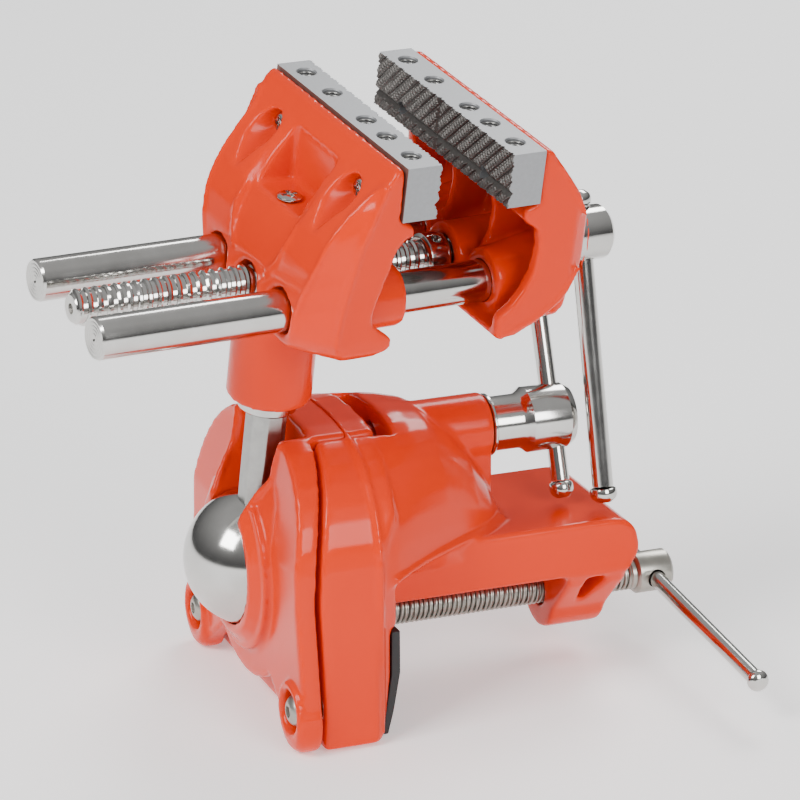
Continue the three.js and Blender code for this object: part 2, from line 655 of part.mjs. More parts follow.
function movingJaw() {
  const face = fixedFace + jawOpening + plateDepth + gap;
  let body = prismX(movingSideView(face), -bodyHalf, bodyHalf);
  const plan = [[-bodyHalf, 30], [bodyHalf, 30], [bodyHalf, 71], [bodyHalf - 3, 76.4],
    [bodyHalf - 9, 80], [9 - bodyHalf, 80], [3 - bodyHalf, 76.4], [-bodyHalf, 71]];
  body = body.intersect(prismZ(plan, 70, 140));
  const inside = [[30, movingFloor], [face - 4, movingFloor], [face + 2, 85.8], [face + 8.6, 91],
    [face + 13, 97], [face + 15.6, 106.5], [face + 13.4, 114], [face + 9, 121], [face + 5, 126],
    [face + bodyWall, 126], [face + bodyWall, 118.6], [face + 1, 115.4], [30, 113]];
  for (const [x0, x1] of [[bodyWall - bodyHalf, -12], [-10, 10], [12, bodyHalf - bodyWall]]) {
    body = body.subtract(prismX(inside, x0, x1));
  }
  for (const side of [-1, 1]) {
    const boss = turnedY([[0, movingBossFront], [rodBossRadius + 0.4, movingBossFront],
      [rodBossRadius + 0.4, movingBossFront + 4], [12, 74], [0, 74]], side * rodX, rodZ);
    body = body.add(boss);
  }
  body = body.add(rodY(9.6, spindleCollarFront + spindleCollarLength + gap, 78, 0, spindleZ));
  for (const side of [-1, 1]) {
    const x = side * plateScrewX;
    body = body.subtract(rodY(rodRadius + gap, 20, rodBack + gap, side * rodX, rodZ));
    body = body.subtract(rodY(plateScrewShank + gap, 50, 75, x, plateScrewZ, coarse));
    body = body.subtract(rodY(3.9, face + bodyWall - 0.6, 100, x, plateScrewZ, coarse));
  }
  return body.subtract(rodY(spindleRadius + runGap, 20, 100, 0, spindleZ));
}

// ---------------------------------------------------------------- jaw plates and screws
// A plate is drawn with its gripping face at y = 0 looking towards -Y, then placed.
function jawPlate() {
  let body = box([-jawWidth / 2, jawWidth / 2], [0, plateDepth], [plateBase, plateBase + plateHeight]);
  const top = plateBase + plateHeight;
  for (const x of plateHoles) {
    body = body.subtract(pinZ(plateHoleRadius, top - plateHoleDepth, top + 2, x, plateDepth * 0.52, 12));
  }
  const notch = [[-1, grooveZ - grooveHalf - 0.9], [grooveHalf, grooveZ], [-1, grooveZ + grooveHalf + 0.9]];
  body = body.subtract(prismX(notch, -60, 60));
  const upright = [[uprightGrooveX - 2, -1], [uprightGrooveX, 1.2], [uprightGrooveX + 2, -1]];
  body = body.subtract(prismZ(upright, plateBase - 2, plateBase + plateHeight + 2));
  for (const side of [-1, 1]) {
    const x = side * plateScrewX;
    body = body.subtract(rodY(plateScrewShank + gap, -2, plateDepth + 2, x, plateScrewZ, 12));
  }
  return body;
}

// Plate screw from its seat to its tip along Y, with a crossed slot in the head.
function plateScrew(x, seat, tip) {
  const way = Math.sign(tip - seat);
  const head = 3.2;
  const top = seat - way * 2;
  const profile = [[0, top], [head * 0.6, top + way * 0.1], [head, seat - way * 0.9], [head, seat],
    [plateScrewShank, seat], [plateScrewShank, tip], [0, tip]];
  const screw = turnedY(way > 0 ? profile : profile.reverse(), x, plateScrewZ, coarse);
  const reach = [seat - way * 1.2, seat - way * 3].sort((a, b) => a - b);
  return screw.subtract(box([x - 1.9, x + 1.9], reach, [plateScrewZ - 0.35, plateScrewZ + 0.35]))
    .subtract(box([x - 0.35, x + 0.35], reach, [plateScrewZ - 1.9, plateScrewZ + 1.9]));
}

// The nut screw stands on the notch's floor and holds the spindle nut in the jaw.
function nutScrew() {
  const seat = recessFloor + gap;
  const shank = pinZ(nutScrewRadius, nutScrewTip, seat, 0, nutScrewY, coarse);
  const slot = [seat + 0.6, seat + 3];
  return shank.add(pinZ(nutScrewHead, seat, seat + 1.2, 0, nutScrewY, coarse))
    .subtract(box([-2, 2], [nutScrewY - 0.4, nutScrewY + 0.4], slot))
    .subtract(box([-0.4, 0.4], [nutScrewY - 2, nutScrewY + 2], slot));
}

function spindleNut() {
  const half = nutWidth / 2;
  const body = box([-half, half], [nutFront, nutBack], [spindleZ - half, spindleZ + half]);
  return body.subtract(rodY(spindleRadius + gap, -10, 30, 0, spindleZ))
    .subtract(pinZ(nutScrewRadius + gap, nutScrewTip - gap, spindleZ + 12, 0, nutScrewY, coarse));
}

function spindle() {
  const profile = [[0, spindleFront], [spindleRadius - 1.2, spindleFront],
    [spindleRadius, spindleFront + 1.4], [spindleRadius, spindleHeadFront],
    [spindleHeadRadius, spindleHeadFront], [spindleHeadRadius, spindleHeadBack - 1],
    [spindleHeadRadius - 1, spindleHeadBack], [0, spindleHeadBack]];
  const body = crossHead(profile, mainBar.y, mainBar.radius, mainBar.turn, spindleZ);
  return body.subtract(rodY(1.5, spindleFront - 1, spindleFront + 2, 0, spindleZ, 12));
}

function spindleCollar() {
  const back = spindleCollarFront + spindleCollarLength;
  return rodY(spindleCollarRadius, spindleCollarFront, back, 0, spindleZ)
    .subtract(rodY(spindleRadius + gap, 0, 90, 0, spindleZ));
}

function guideRod(side) {
  return turnedY([[0, rodFront], [rodRadius - 0.8, rodFront], [rodRadius, rodFront + 0.8],
    [rodRadius, rodBack], [0, rodBack]], side * rodX, rodZ);
}

// ---------------------------------------------------------------- head group
const head = new THREE.Group();
head.rotation.set(THREE.MathUtils.degToRad(headTilt), THREE.MathUtils.degToRad(headLean),
  THREE.MathUtils.degToRad(headSpin), 'YXZ');
head.add(piece('ball_stud', ballStud(), chrome));
head.add(piece('post_collar', postCollar(), chrome));
head.add(piece('fixed_jaw', fixedJaw(), enamel));
head.add(piece('moving_jaw', movingJaw(), enamel));
const movingFace = fixedFace + jawOpening;
const fixedPlate = new THREE.Group();
fixedPlate.rotation.z = Math.PI;
fixedPlate.position.y = fixedFace;
fixedPlate.add(piece('fixed_jaw_plate', jawPlate().mirror([1, 0, 0]), castSteel));
const movingPlate = new THREE.Group();
movingPlate.position.y = movingFace;
movingPlate.add(piece('moving_jaw_plate', jawPlate(), castSteel));
head.add(fixedPlate, movingPlate);
for (const [label, side] of [['left', -1], ['right', 1]]) {
  const x = side * plateScrewX;
  const seat = movingFace + plateDepth + bodyWall + gap;
  head.add(piece(`fixed_plate_screw_${label}`, plateScrew(x, plateScrewSeat - gap, 20), chrome));
  head.add(piece(`moving_plate_screw_${label}`, plateScrew(x, seat, 50), chrome));
  head.add(piece(`guide_rod_${label}`, guideRod(side), chrome));
}
head.add(piece('spindle_nut', spindleNut(), brass));
head.add(piece('nut_screw', nutScrew(), chrome));
head.add(piece('spindle', spindle(), chrome));
head.add(piece('spindle_collar', spindleCollar(), chrome));
head.add(barGroup('main', mainBar, spindleZ));

// ---------------------------------------------------------------- the whole vise
const vise = new THREE.Group();
vise.position.set(0, -benchFaceY, -benchFaceZ);
vise.add(base, head);
export default vise;
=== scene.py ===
"""Clamp-on bench vise with a ball head: the visible model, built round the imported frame.

Pieces are drawn in millimetres in one of two frames about the centre of the ball: BASE stands
square on the clamp, and HEAD leans and turns with the jaws. Places and outer sizes come from the
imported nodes, and finer shaping is given in millimetres.
"""

import json
import math

import bmesh
import bpy
from mathutils import Matrix, Vector


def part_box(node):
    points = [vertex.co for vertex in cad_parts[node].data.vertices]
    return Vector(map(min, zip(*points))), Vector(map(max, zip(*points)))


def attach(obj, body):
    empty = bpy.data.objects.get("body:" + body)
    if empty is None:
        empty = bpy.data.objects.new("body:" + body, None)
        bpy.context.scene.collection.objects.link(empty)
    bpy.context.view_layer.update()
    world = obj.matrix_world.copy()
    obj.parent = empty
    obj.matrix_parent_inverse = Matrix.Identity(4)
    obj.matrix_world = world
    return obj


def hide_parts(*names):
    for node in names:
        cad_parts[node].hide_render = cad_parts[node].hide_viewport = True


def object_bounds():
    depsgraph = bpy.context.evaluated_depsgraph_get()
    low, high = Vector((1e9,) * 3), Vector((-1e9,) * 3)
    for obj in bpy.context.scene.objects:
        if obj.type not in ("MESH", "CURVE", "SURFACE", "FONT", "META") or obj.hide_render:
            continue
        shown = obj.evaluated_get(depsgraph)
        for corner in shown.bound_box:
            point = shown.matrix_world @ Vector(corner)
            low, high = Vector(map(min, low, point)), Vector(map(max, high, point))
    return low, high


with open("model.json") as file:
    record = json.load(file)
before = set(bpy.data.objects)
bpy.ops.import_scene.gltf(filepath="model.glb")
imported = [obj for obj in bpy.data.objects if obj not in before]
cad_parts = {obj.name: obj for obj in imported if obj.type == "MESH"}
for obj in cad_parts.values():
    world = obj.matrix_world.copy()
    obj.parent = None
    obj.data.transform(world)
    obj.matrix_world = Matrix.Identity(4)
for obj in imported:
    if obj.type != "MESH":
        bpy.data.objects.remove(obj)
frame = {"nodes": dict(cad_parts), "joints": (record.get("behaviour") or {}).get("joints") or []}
CAD_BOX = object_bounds()

bl_info = {
    "name": "Bench vise",
    "version": (1, 0, 0),
    "blender": (4, 5, 0),
    "location": "View3D > Sidebar > Vise",
    "description": "Builds the castings, jaw plates, screws and bars of a clamp-on bench vise",
    "category": "Add Mesh",
}

MM = 0.001
FLOAT = "NodeSocketFloat"
INTEGER = "NodeSocketInt"
GEOMETRY = "NodeSocketGeometry"
JOINTS = {joint["name"]: joint for joint in frame["joints"]}
COVER_SCREWS = ("cover_screw_left", "cover_screw_right")
IN_PLACE = Matrix.Identity(4)
AT_ORIGIN = Matrix.Scale(MM, 4)


# ------------------------------------------------------------------ frames
def placed(origin, y_axis, z_axis):
    """A frame in millimetres at origin, with its second axis exactly along y_axis."""
    y = Vector(y_axis).normalized()
    x = y.cross(Vector(z_axis)).normalized()
    turn = Matrix((x, y, x.cross(y))).transposed().to_4x4()
    return Matrix.Translation(origin) @ turn @ Matrix.Scale(MM, 4)


BALL = Vector(JOINTS["ball_swivel"]["pos_m"])
BASE = placed(BALL, (0, 1, 0), (0, 0, 1))
HEAD = placed(BALL, JOINTS["jaw_slide"]["axis"], JOINTS["head_spin"]["axis"])


def extent(node, place):
    """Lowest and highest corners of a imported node, in millimetres in that frame."""
    back = place.inverted()
    points = [back @ vertex.co for vertex in frame["nodes"][node].data.vertices]
    low = Vector([min(point[axis] for point in points) for axis in range(3)])
    high = Vector([max(point[axis] for point in points) for axis in range(3)])
    return low, high


def along_y(place, x=0.0, z=0.0):
    """A frame whose third axis runs along the second axis of place, through (x, z)."""
    return place @ Matrix.Translation((x, 0, z)) @ Matrix.Rotation(-math.pi / 2, 4, "X")


def r_of(box):
    """Radius of a round piece, from its box."""
    return (box[1].x - box[0].x) / 2


def centre_xz(box):
    return (box[0].x + box[1].x) / 2, (box[0].z + box[1].z) / 2


def lock_line():
    """Height of the lock screw's axis from the ball centre."""
    return centre_xz(extent("lock_washer", BASE))[1]


def clamp_line():
    """Height of the clamp screw's axis from the ball centre."""
    return centre_xz(extent("clamp_foot", BASE))[1]


# ------------------------------------------------------------------ meshes
def skin(rings):
    """A closed skin over rings of points, with a flat face at each end."""
    mesh = bmesh.new()
    loops = [[mesh.verts.new(point) for point in ring] for ring in rings]
    count = len(rings[0])
    for low, high in zip(loops, loops[1:]):
        for step in range(count):
            after = (step + 1) % count
            mesh.faces.new((low[step], low[after], high[after], high[step]))
    mesh.faces.new(loops[0][::-1])
    mesh.faces.new(loops[-1])
    return mesh


def turned(profile, steps=96, start=0.0):
    """A shape turned about the third axis: pairs of radius and height."""
    angles = [start + 2 * math.pi * step / steps for step in range(steps)]
    return skin([[(r * math.cos(a), r * math.sin(a), h) for a in angles] for r, h in profile])


def collar_profile(inner, outer, low, high, chamfer, top_chamfer=None):
    """Radius and height round a collar's outside, with chamfers at its two outer edges."""
    top = chamfer if top_chamfer is None else top_chamfer
    return [(inner, low), (outer - chamfer, low), (outer, low + chamfer), (outer, high - top),
            (outer - top, high), (inner, high)]


def moved(mesh, matrix):
    mesh.transform(matrix)
    return mesh


def bore(radius, y0, y1, x, z, steps=64):
    """A round cutter along the second axis."""
    return moved(turned([(radius, y0), (radius, y1)], steps), along_y(IN_PLACE, x, z))


def bore_z(radius, z0, z1, steps=96):
    """A round cutter along the third axis."""
    return turned([(radius, z0), (radius, z1)], steps)


def block(low, high):
    (x0, y0, z0), (x1, y1, z1) = low, high
    return skin([[(x0, y0, z), (x1, y0, z), (x1, y1, z), (x0, y1, z)] for z in (z0, z1)])


def bead(path, radius, steps=10, closed=False):
    """A round bead along a path of points, with flat ends, or round a closed path."""
    points = [Vector(point) for point in path]
    count = len(points)
    rings = []
    side = Vector((0.31, 0.17, 0.93))
    for index, point in enumerate(points):
        before = points[index - 1] if index or closed else point
        after = points[(index + 1) % count] if index + 1 < count or closed else point
        ahead = (after - before).normalized()
        side = (side - ahead * side.dot(ahead)).normalized()
        other = ahead.cross(side)
        turn = [2 * math.pi * step / steps for step in range(steps)]
        rings.append([point + (side * math.cos(a) + other * math.sin(a)) * radius for a in turn])
    if closed:
        rings.append(rings[0])
    return skin(rings)


def curved(points, steps=6):
    """Points along a smooth curve through the given ones, as a Catmull-Rom spline."""
    given = [Vector(point) for point in points]
    ends = [given[0] * 2 - given[1], *given, given[-1] * 2 - given[-2]]
    smooth = []
    for a, b, c, d in zip(ends, ends[1:], ends[2:], ends[3:]):
        for step in range(steps):
            t = step / steps
            smooth.append(0.5 * (2 * b + (c - a) * t + (2 * a - 5 * b + 4 * c - d) * t * t
                                 + (3 * b - a - 3 * c + d) * t ** 3))
    smooth.append(given[-1])
    return smooth


def made(name, mesh, place):
    """The mesh as an object that stands at the origin, with its vertices put in place."""
    mesh.transform(place)
    bmesh.ops.recalc_face_normals(mesh, faces=mesh.faces)
    data = bpy.data.meshes.new(name)
    mesh.to_mesh(data)
    mesh.free()
    piece = bpy.data.objects.new(name, data)
    bpy.context.scene.collection.objects.link(piece)
    return piece


def packed_copy(name, node):
    """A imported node's mesh as a new object, with the points that its faces share joined."""
    mesh = bmesh.new()
    mesh.from_mesh(frame["nodes"][node].data)
    bmesh.ops.remove_doubles(mesh, verts=mesh.verts, dist=MM / 1000)
    return made(name, mesh, IN_PLACE)


def settle(piece):
    """Turns the piece with its modifiers into a plain mesh."""
    graph = bpy.context.evaluated_depsgraph_get()
    data = bpy.data.meshes.new_from_object(piece.evaluated_get(graph))
    piece.modifiers.clear()
    old = piece.data
    piece.data = data
    data.name = piece.name
    bpy.data.meshes.remove(old)
    return piece


def combine(piece, tools, operation="DIFFERENCE"):
    """Cuts the tools out of the piece, or joins them to it, and removes them."""
    for tool in tools:
        modifier = piece.modifiers.new("cut", "BOOLEAN")
        modifier.operation = operation
        modifier.solver = "MANIFOLD"
        modifier.object = tool
    settle(piece)
    for tool in tools:
        bpy.data.objects.remove(tool)
    return piece


def soften(piece, width, segments=2, angle=30):
    """Rounds off the edges of a machined piece; the width is in millimetres."""
    modifier = piece.modifiers.new("edges", "BEVEL")
    modifier.width = width * MM
    modifier.segments = segments
    modifier.limit_method = "ANGLE"
    modifier.angle_limit = math.radians(angle)
    return settle(piece)


def shade(piece, angle=32):
    """Smooth shading, but for edges sharper than the angle in degrees."""
    piece.data.polygons.foreach_set("use_smooth", [True] * len(piece.data.polygons))
    piece.data.set_sharp_from_angle(angle=math.radians(angle))
    return piece


def finished(piece, body, material, nodes, angle=32):
    """Gives a piece its finish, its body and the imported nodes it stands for."""
    if not any(piece.data.materials):
        piece.data.materials.clear()
        piece.data.materials.append(material)
    shade(piece, angle)
    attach(piece, body)
    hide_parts(*nodes)
    return piece


# ------------------------------------------------------------------ nodes
def add_node(tree, kind, settings=None, inputs=None):
    """Adds a node with its settings, and fills its inputs with values or links."""
    node = tree.nodes.new(kind)
    for name, value in (settings or {}).items():
        setattr(node, name, value)
    for name, value in (inputs or {}).items():
        socket = node.inputs[name]
        for single in value if isinstance(value, list) else [value]:
            if isinstance(single, bpy.types.NodeSocket):
                tree.links.new(single, socket)
            else:
                socket.default_value = single
    return node


def linear(hex_colour):
    """An sRGB hex value as linear red, green, blue and alpha."""
    values = [int(hex_colour[index:index + 2], 16) / 255 for index in (1, 3, 5)]
    curve = [v / 12.92 if v <= 0.04045 else ((v + 0.055) / 1.055) ** 2.4 for v in values]
    return (*curve, 1.0)


def surface(name, low, high, grain_mm, roughness, metallic, bump_mm=0.0, bump_grain_mm=1.0, gloss=0.5,
            glow=0.0):
    """A material whose colour drifts between two shades, with fine noise for relief if bump_mm is set."""
    material = bpy.data.materials.new(name)
    material.use_nodes = True
    tree = material.node_tree
    tree.nodes.clear()
    place = add_node(tree, "ShaderNodeTexCoord").outputs["Object"]
    drift = add_node(tree, "ShaderNodeTexNoise", None,
                     {"Vector": place, "Scale": 1000 / grain_mm, "Detail": 4.0, "Roughness": 0.6})
    shades = add_node(tree, "ShaderNodeMix", {"data_type": "RGBA"}, {"Factor": drift.outputs["Fac"]})
    # sockets 6 and 7 take the two colours to mix, and output 2 gives the mixed one
    shades.inputs[6].default_value = linear(low)
    shades.inputs[7].default_value = linear(high)
    rough = add_node(tree, "ShaderNodeMapRange", None,
                     {"Value": drift.outputs["Fac"], "To Min": roughness[0], "To Max": roughness[1]})
    shader = add_node(tree, "ShaderNodeBsdfPrincipled", None,
                      {"Base Color": shades.outputs[2], "Roughness": rough.outputs["Result"],
                       "Metallic": metallic, "Specular IOR Level": gloss,
                       "Emission Color": linear(high), "Emission Strength": glow})
    if bump_mm:
        fine = add_node(tree, "ShaderNodeTexNoise", None,
                        {"Vector": place, "Scale": 1000 / bump_grain_mm, "Detail": 3.0})
        relief = add_node(tree, "ShaderNodeBump", None,
                          {"Height": fine.outputs["Fac"], "Strength": 1.0, "Distance": bump_mm * MM})
        tree.links.new(relief.outputs["Normal"], shader.inputs["Normal"])
    add_node(tree, "ShaderNodeOutputMaterial", None, {"Surface": shader.outputs["BSDF"]})
    return material


FINISHES = {}


def finish_named(name):
    """The vise's finishes, each made once."""
    if name in FINISHES:
        return FINISHES[name]
    paint = bpy.context.scene.vise_finish
    makers = {
        # sprayed enamel on cast iron: deep gloss with a soft orange-peel ripple
        "sprayed_enamel": lambda: surface(
            "sprayed_enamel", paint.enamel_dark, paint.enamel_light, 60, (0.14, 0.22), 0.0, 0.01, 2.6,
            gloss=0.2),
        # bright nickel-chrome plate on turned bar: near-mirror with faint handling haze
        "chrome_plate": lambda: surface(
            "chrome_plate", "#b9b7b3", "#d0cfcc", 9, (0.07, 0.2), 1.0, 0.003, 0.8),
        # drawn and ground steel of the post: finer, greyer and less even than the plate
        "ground_steel": lambda: surface(
            "ground_steel", "#8d8c89", "#b5b4b1", 3, (0.22, 0.4), 1.0, 0.004, 0.4),
        # cast and surface-ground steel of the jaw plates: even light grey with fine pits
        "cast_plate": lambda: surface(
            "cast_plate", "#88898b", "#9b9c9e", 1.2, (0.42, 0.55), 0.7, 0.012, 0.35),
        # rolled grip pattern on the same steel, painted darker all over as painted shade of its grooves
        "rolled_grip": lambda: surface(
            "rolled_grip", "#3d3a38", "#6d6a67", 0.9, (0.35, 0.5), 0.75, 0.03, 0.5),
        # zinc-plated screw steel: dull, slightly warm
        "zinc_plate": lambda: surface(
            "zinc_plate", "#8f8d86", "#b9b6ad", 4, (0.28, 0.42), 1.0, 0.006, 0.5),
        # moulded black rubber: matt with a fine moulding texture
        "moulded_rubber": lambda: surface(
            "moulded_rubber", "#161617", "#202021", 5, (0.5, 0.65), 0.0, 0.02, 0.5),
        # machined brass of the hidden nut
        "machined_brass": lambda: surface(
            "machined_brass", "#a8873f", "#c2a254", 4, (0.25, 0.4), 1.0, 0.004, 0.5),
        # oxidised back edge of the plate where the enamel stops
        "oxide_edge": lambda: surface(
            "oxide_edge", "#5b3a33", "#7d5a50", 2, (0.5, 0.7), 0.2, 0.02, 0.6),
    }
    FINISHES[name] = makers[name]()
    return FINISHES[name]


def node_group(name, sockets):
    """An empty geometry tree with named inputs; returns the tree, its input and its output."""
    tree = bpy.data.node_groups.new(name, "GeometryNodeTree")
    tree.interface.new_socket(name="Geometry", in_out="OUTPUT", socket_type=GEOMETRY)
    for label, kind in sockets:
        tree.interface.new_socket(name=label, in_out="INPUT", socket_type=kind)
    return tree, tree.nodes.new("NodeGroupInput"), tree.nodes.new("NodeGroupOutput")


def run_nodes(piece, tree, values):
    """Runs a geometry tree on the piece with its named inputs set, and keeps the result."""
    modifier = piece.modifiers.new(tree.name, "NODES")
    modifier.node_group = tree
    for item in tree.interface.items_tree:
        if item.in_out == "INPUT" and item.name in values:
            modifier[item.identifier] = values[item.name]
    return settle(piece)


def thread_tree():
    """A round-backed thread wound about the third axis and added to the core it is given."""
    tree, given, out = node_group("wound_thread", [
        ("Core", GEOMETRY), ("Radius", FLOAT), ("Pitch", FLOAT), ("Length", FLOAT), ("Ridge", FLOAT),
        ("Start", FLOAT), ("Steps", INTEGER), ("Material", "NodeSocketMaterial")])
    values = given.outputs
    turns = add_node(tree, "ShaderNodeMath", {"operation": "DIVIDE"})
    tree.links.new(values["Length"], turns.inputs[0])
    tree.links.new(values["Pitch"], turns.inputs[1])
    spiral = add_node(tree, "GeometryNodeCurveSpiral", None, {
        "Resolution": values["Steps"], "Rotations": turns.outputs[0], "Start Radius": values["Radius"],
        "End Radius": values["Radius"], "Height": values["Length"]})
    section = add_node(tree, "GeometryNodeCurvePrimitiveCircle", None,
                       {"Resolution": 8, "Radius": values["Ridge"]})
    ridge = add_node(tree, "GeometryNodeCurveToMesh", None,
                     {"Curve": spiral.outputs[0], "Profile Curve": section.outputs[0], "Fill Caps": True})
    shift = add_node(tree, "ShaderNodeCombineXYZ", None, {"Z": values["Start"]})
    moved = add_node(tree, "GeometryNodeTransform", None,
                     {"Geometry": ridge.outputs[0], "Translation": shift.outputs[0]})
    joined = add_node(tree, "GeometryNodeJoinGeometry", None,
                      {"Geometry": [values["Core"], moved.outputs[0]]})
    real = add_node(tree, "GeometryNodeRealizeInstances", None, {"Geometry": joined.outputs[0]})
    coated = add_node(tree, "GeometryNodeSetMaterial", None,
                      {"Geometry": real.outputs[0], "Material": values["Material"]})
    tree.links.new(coated.outputs[0], out.inputs[0])
    return tree


def copies_tree():
    """Copies of one part, such as a screw, on every point of the mesh it is given."""
    tree, given, out = node_group("placed_copies", [
        ("Points", GEOMETRY), ("Part", "NodeSocketObject"), ("Turn", "NodeSocketRotation"),
        ("Material", "NodeSocketMaterial")])
    values = given.outputs
    part = add_node(tree, "GeometryNodeObjectInfo", None, {"Object": values["Part"]})
    placed_parts = add_node(tree, "GeometryNodeInstanceOnPoints", None, {
        "Points": values["Points"], "Instance": part.outputs["Geometry"], "Rotation": values["Turn"]})
    real = add_node(tree, "GeometryNodeRealizeInstances", None, {"Geometry": placed_parts.outputs[0]})
    coated = add_node(tree, "GeometryNodeSetMaterial", None,
                      {"Geometry": real.outputs[0], "Material": values["Material"]})
    tree.links.new(coated.outputs[0], out.inputs[0])
    return tree


def tree_named(name, maker):
    """The tree of that name, made the first time it is asked for."""
    return bpy.data.node_groups.get(name) or maker()


def threaded(piece, place, radius, pitch, start, length, steps, material):
    """Winds a thread on a piece that stands along the third axis of place."""
    ridge = 0.32 * pitch
    piece.data.transform((place @ Matrix.Scale(1 / MM, 4)).inverted())
    run_nodes(piece, tree_named("wound_thread", thread_tree), {
        "Radius": (radius - ridge) * MM, "Pitch": pitch * MM, "Length": length * MM,
        "Ridge": ridge * MM, "Start": start * MM, "Steps": steps, "Material": material})
    piece.data.transform(place @ Matrix.Scale(1 / MM, 4))
    return piece


def copies(name, part, points, turn, material):
    """One mesh with the part copied to each point; the part is removed."""
    data = bpy.data.meshes.new(name)
    data.from_pydata([tuple(point) for point in points], [], [])
    piece = bpy.data.objects.new(name, data)
    bpy.context.scene.collection.objects.link(piece)
    run_nodes(piece, tree_named("placed_copies", copies_tree),
              {"Part": part, "Turn": turn.to_euler(), "Material": material})
    bpy.data.objects.remove(part)
    return piece


# ------------------------------------------------------------------ castings
def casting(node, first_pass, additions, cuts, place):
    """A casting's skin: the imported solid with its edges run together, then its raised work."""
    sizes = bpy.context.scene.vise_castings
    piece = packed_copy(f"{node}_casting", node)
    flow(piece, sizes.voxel, first_pass)
    added = [made("added", addition, place) for addition in additions]
    mesh = bmesh.new()
    for part in [piece, *added]:
        mesh.from_mesh(part.data)
    mesh.to_mesh(piece.data)
    mesh.free()
    for part in added:
        bpy.data.objects.remove(part)
    flow(piece, sizes.voxel, sizes.last_pass)
    return combine(piece, [made("cut", cut, place) for cut in cuts])


def flow(piece, voxel, passes):
    """Rebuilds the skin in even cells and lets its edges run together like poured metal."""
    cells = piece.modifiers.new("cells", "REMESH")
    cells.mode = "VOXEL"
    cells.voxel_size = voxel
    smooth = piece.modifiers.new("smooth", "SMOOTH")
    smooth.factor = 0.5
    smooth.iterations = passes
    return settle(piece)


def squared_arch(half, height, y, steps=48, power=2.5):
    """Points over the block's square-shouldered arch, in the plane at y."""
    points = []
    for step in range(steps + 1):
        angle = math.pi * step / steps
        x = math.copysign(half * abs(math.cos(angle)) ** (2 / power), math.cos(angle))
        points.append((x, y, height * math.sin(angle) ** (2 / power)))
    return points


class VISE_OT_clamp_body(bpy.types.Operator):
    """The base casting: block, dome, arm and the lug that carries the clamp screw"""

    bl_idname = "vise.clamp_body"
    bl_label = "Clamp body"

    def execute(self, context):
        end = extent("clamp_body", BASE)[1].y
        washer = extent("lock_washer", BASE)[0].y
        lock_z = lock_line()
        barrel_radius = 9.8
        lock_bore = 5.4
        clamp_bore = 5.1
        side = 46.3
        seam = 22.4
        barrel = bore(barrel_radius, 44, washer - 0.6, 0, lock_z, 96)
        parting = bead([(side, seam, -40), (side, seam, -20), *squared_arch(46.2, 42.1, seam),
                        (-side, seam, -20), (-side, seam, -40)], 0.7, 8)
        dome_edge = bead(curved([(44, 27.6, 4), (37, 38, 5.5), (29, 51, 6), (22, 62, 6), (12, 73, 6.4)]),
                         0.9, 8)
        cuts = [bore(lock_bore, 34, end, 0, lock_z), bore(clamp_bore, 80, end + 5, 0, clamp_line())]
        piece = casting("clamp_body", 8, [barrel, parting, dome_edge], cuts, BASE)
        finished(piece, "clamp_base", finish_named("sprayed_enamel"), ["clamp_body"], 50)
        return {"FINISHED"}


class VISE_OT_socket_cover(bpy.types.Operator):
    """The cover that holds the ball: ring, slot lips and the two screw bosses"""

    bl_idname = "vise.socket_cover"
    bl_label = "Socket cover"

    def execute(self, context):
        def ring(radius, y, thick):
            arc = [math.radians(angle) for angle in range(-235, 56, 4)]
            return bead([(radius * math.cos(a), y, radius * math.sin(a)) for a in arc], thick, 12)

        additions = [ring(20.6, -7.5, 1.0), ring(25.6, -5.2, 0.7)]
        lip = [(12.4, -7.2, 17), (13.4, -5.6, 20), (14.8, -3, 24.5), (16.9, 0.2, 29), (17.6, 1.6, 35),
               (19, 2.8, 40)]
        circle = [2 * math.pi * step / 48 for step in range(48)]
        seats = []
        for side, node in zip((-1, 1), COVER_SCREWS):
            additions.append(bead(curved([(side * x, y, z) for x, y, z in lip]), 1.0))
            box = extent(node, BASE)
            x, z = centre_xz(box)
            boss = [(x + 7.9 * math.cos(a), -4.3, z + 7.9 * math.sin(a)) for a in circle]
            additions.append(bead(boss, 0.7, 10, True))
            seats.append(bore(r_of(box) + 1.3, -20, box[0].y + 2.9, x, z))
        inside = extent("ball_stud", HEAD)[1].x + 0.35
        arcs = [math.pi * (step + 0.05) / 48 for step in range(48)]
        socket = turned([(inside * math.sin(a), inside * math.cos(a)) for a in arcs], 96)
        piece = casting("socket_cover", 3, additions, [socket, *seats], BASE)
        finished(piece, "clamp_base", finish_named("sprayed_enamel"), ["socket_cover"], 50)
        return {"FINISHED"}


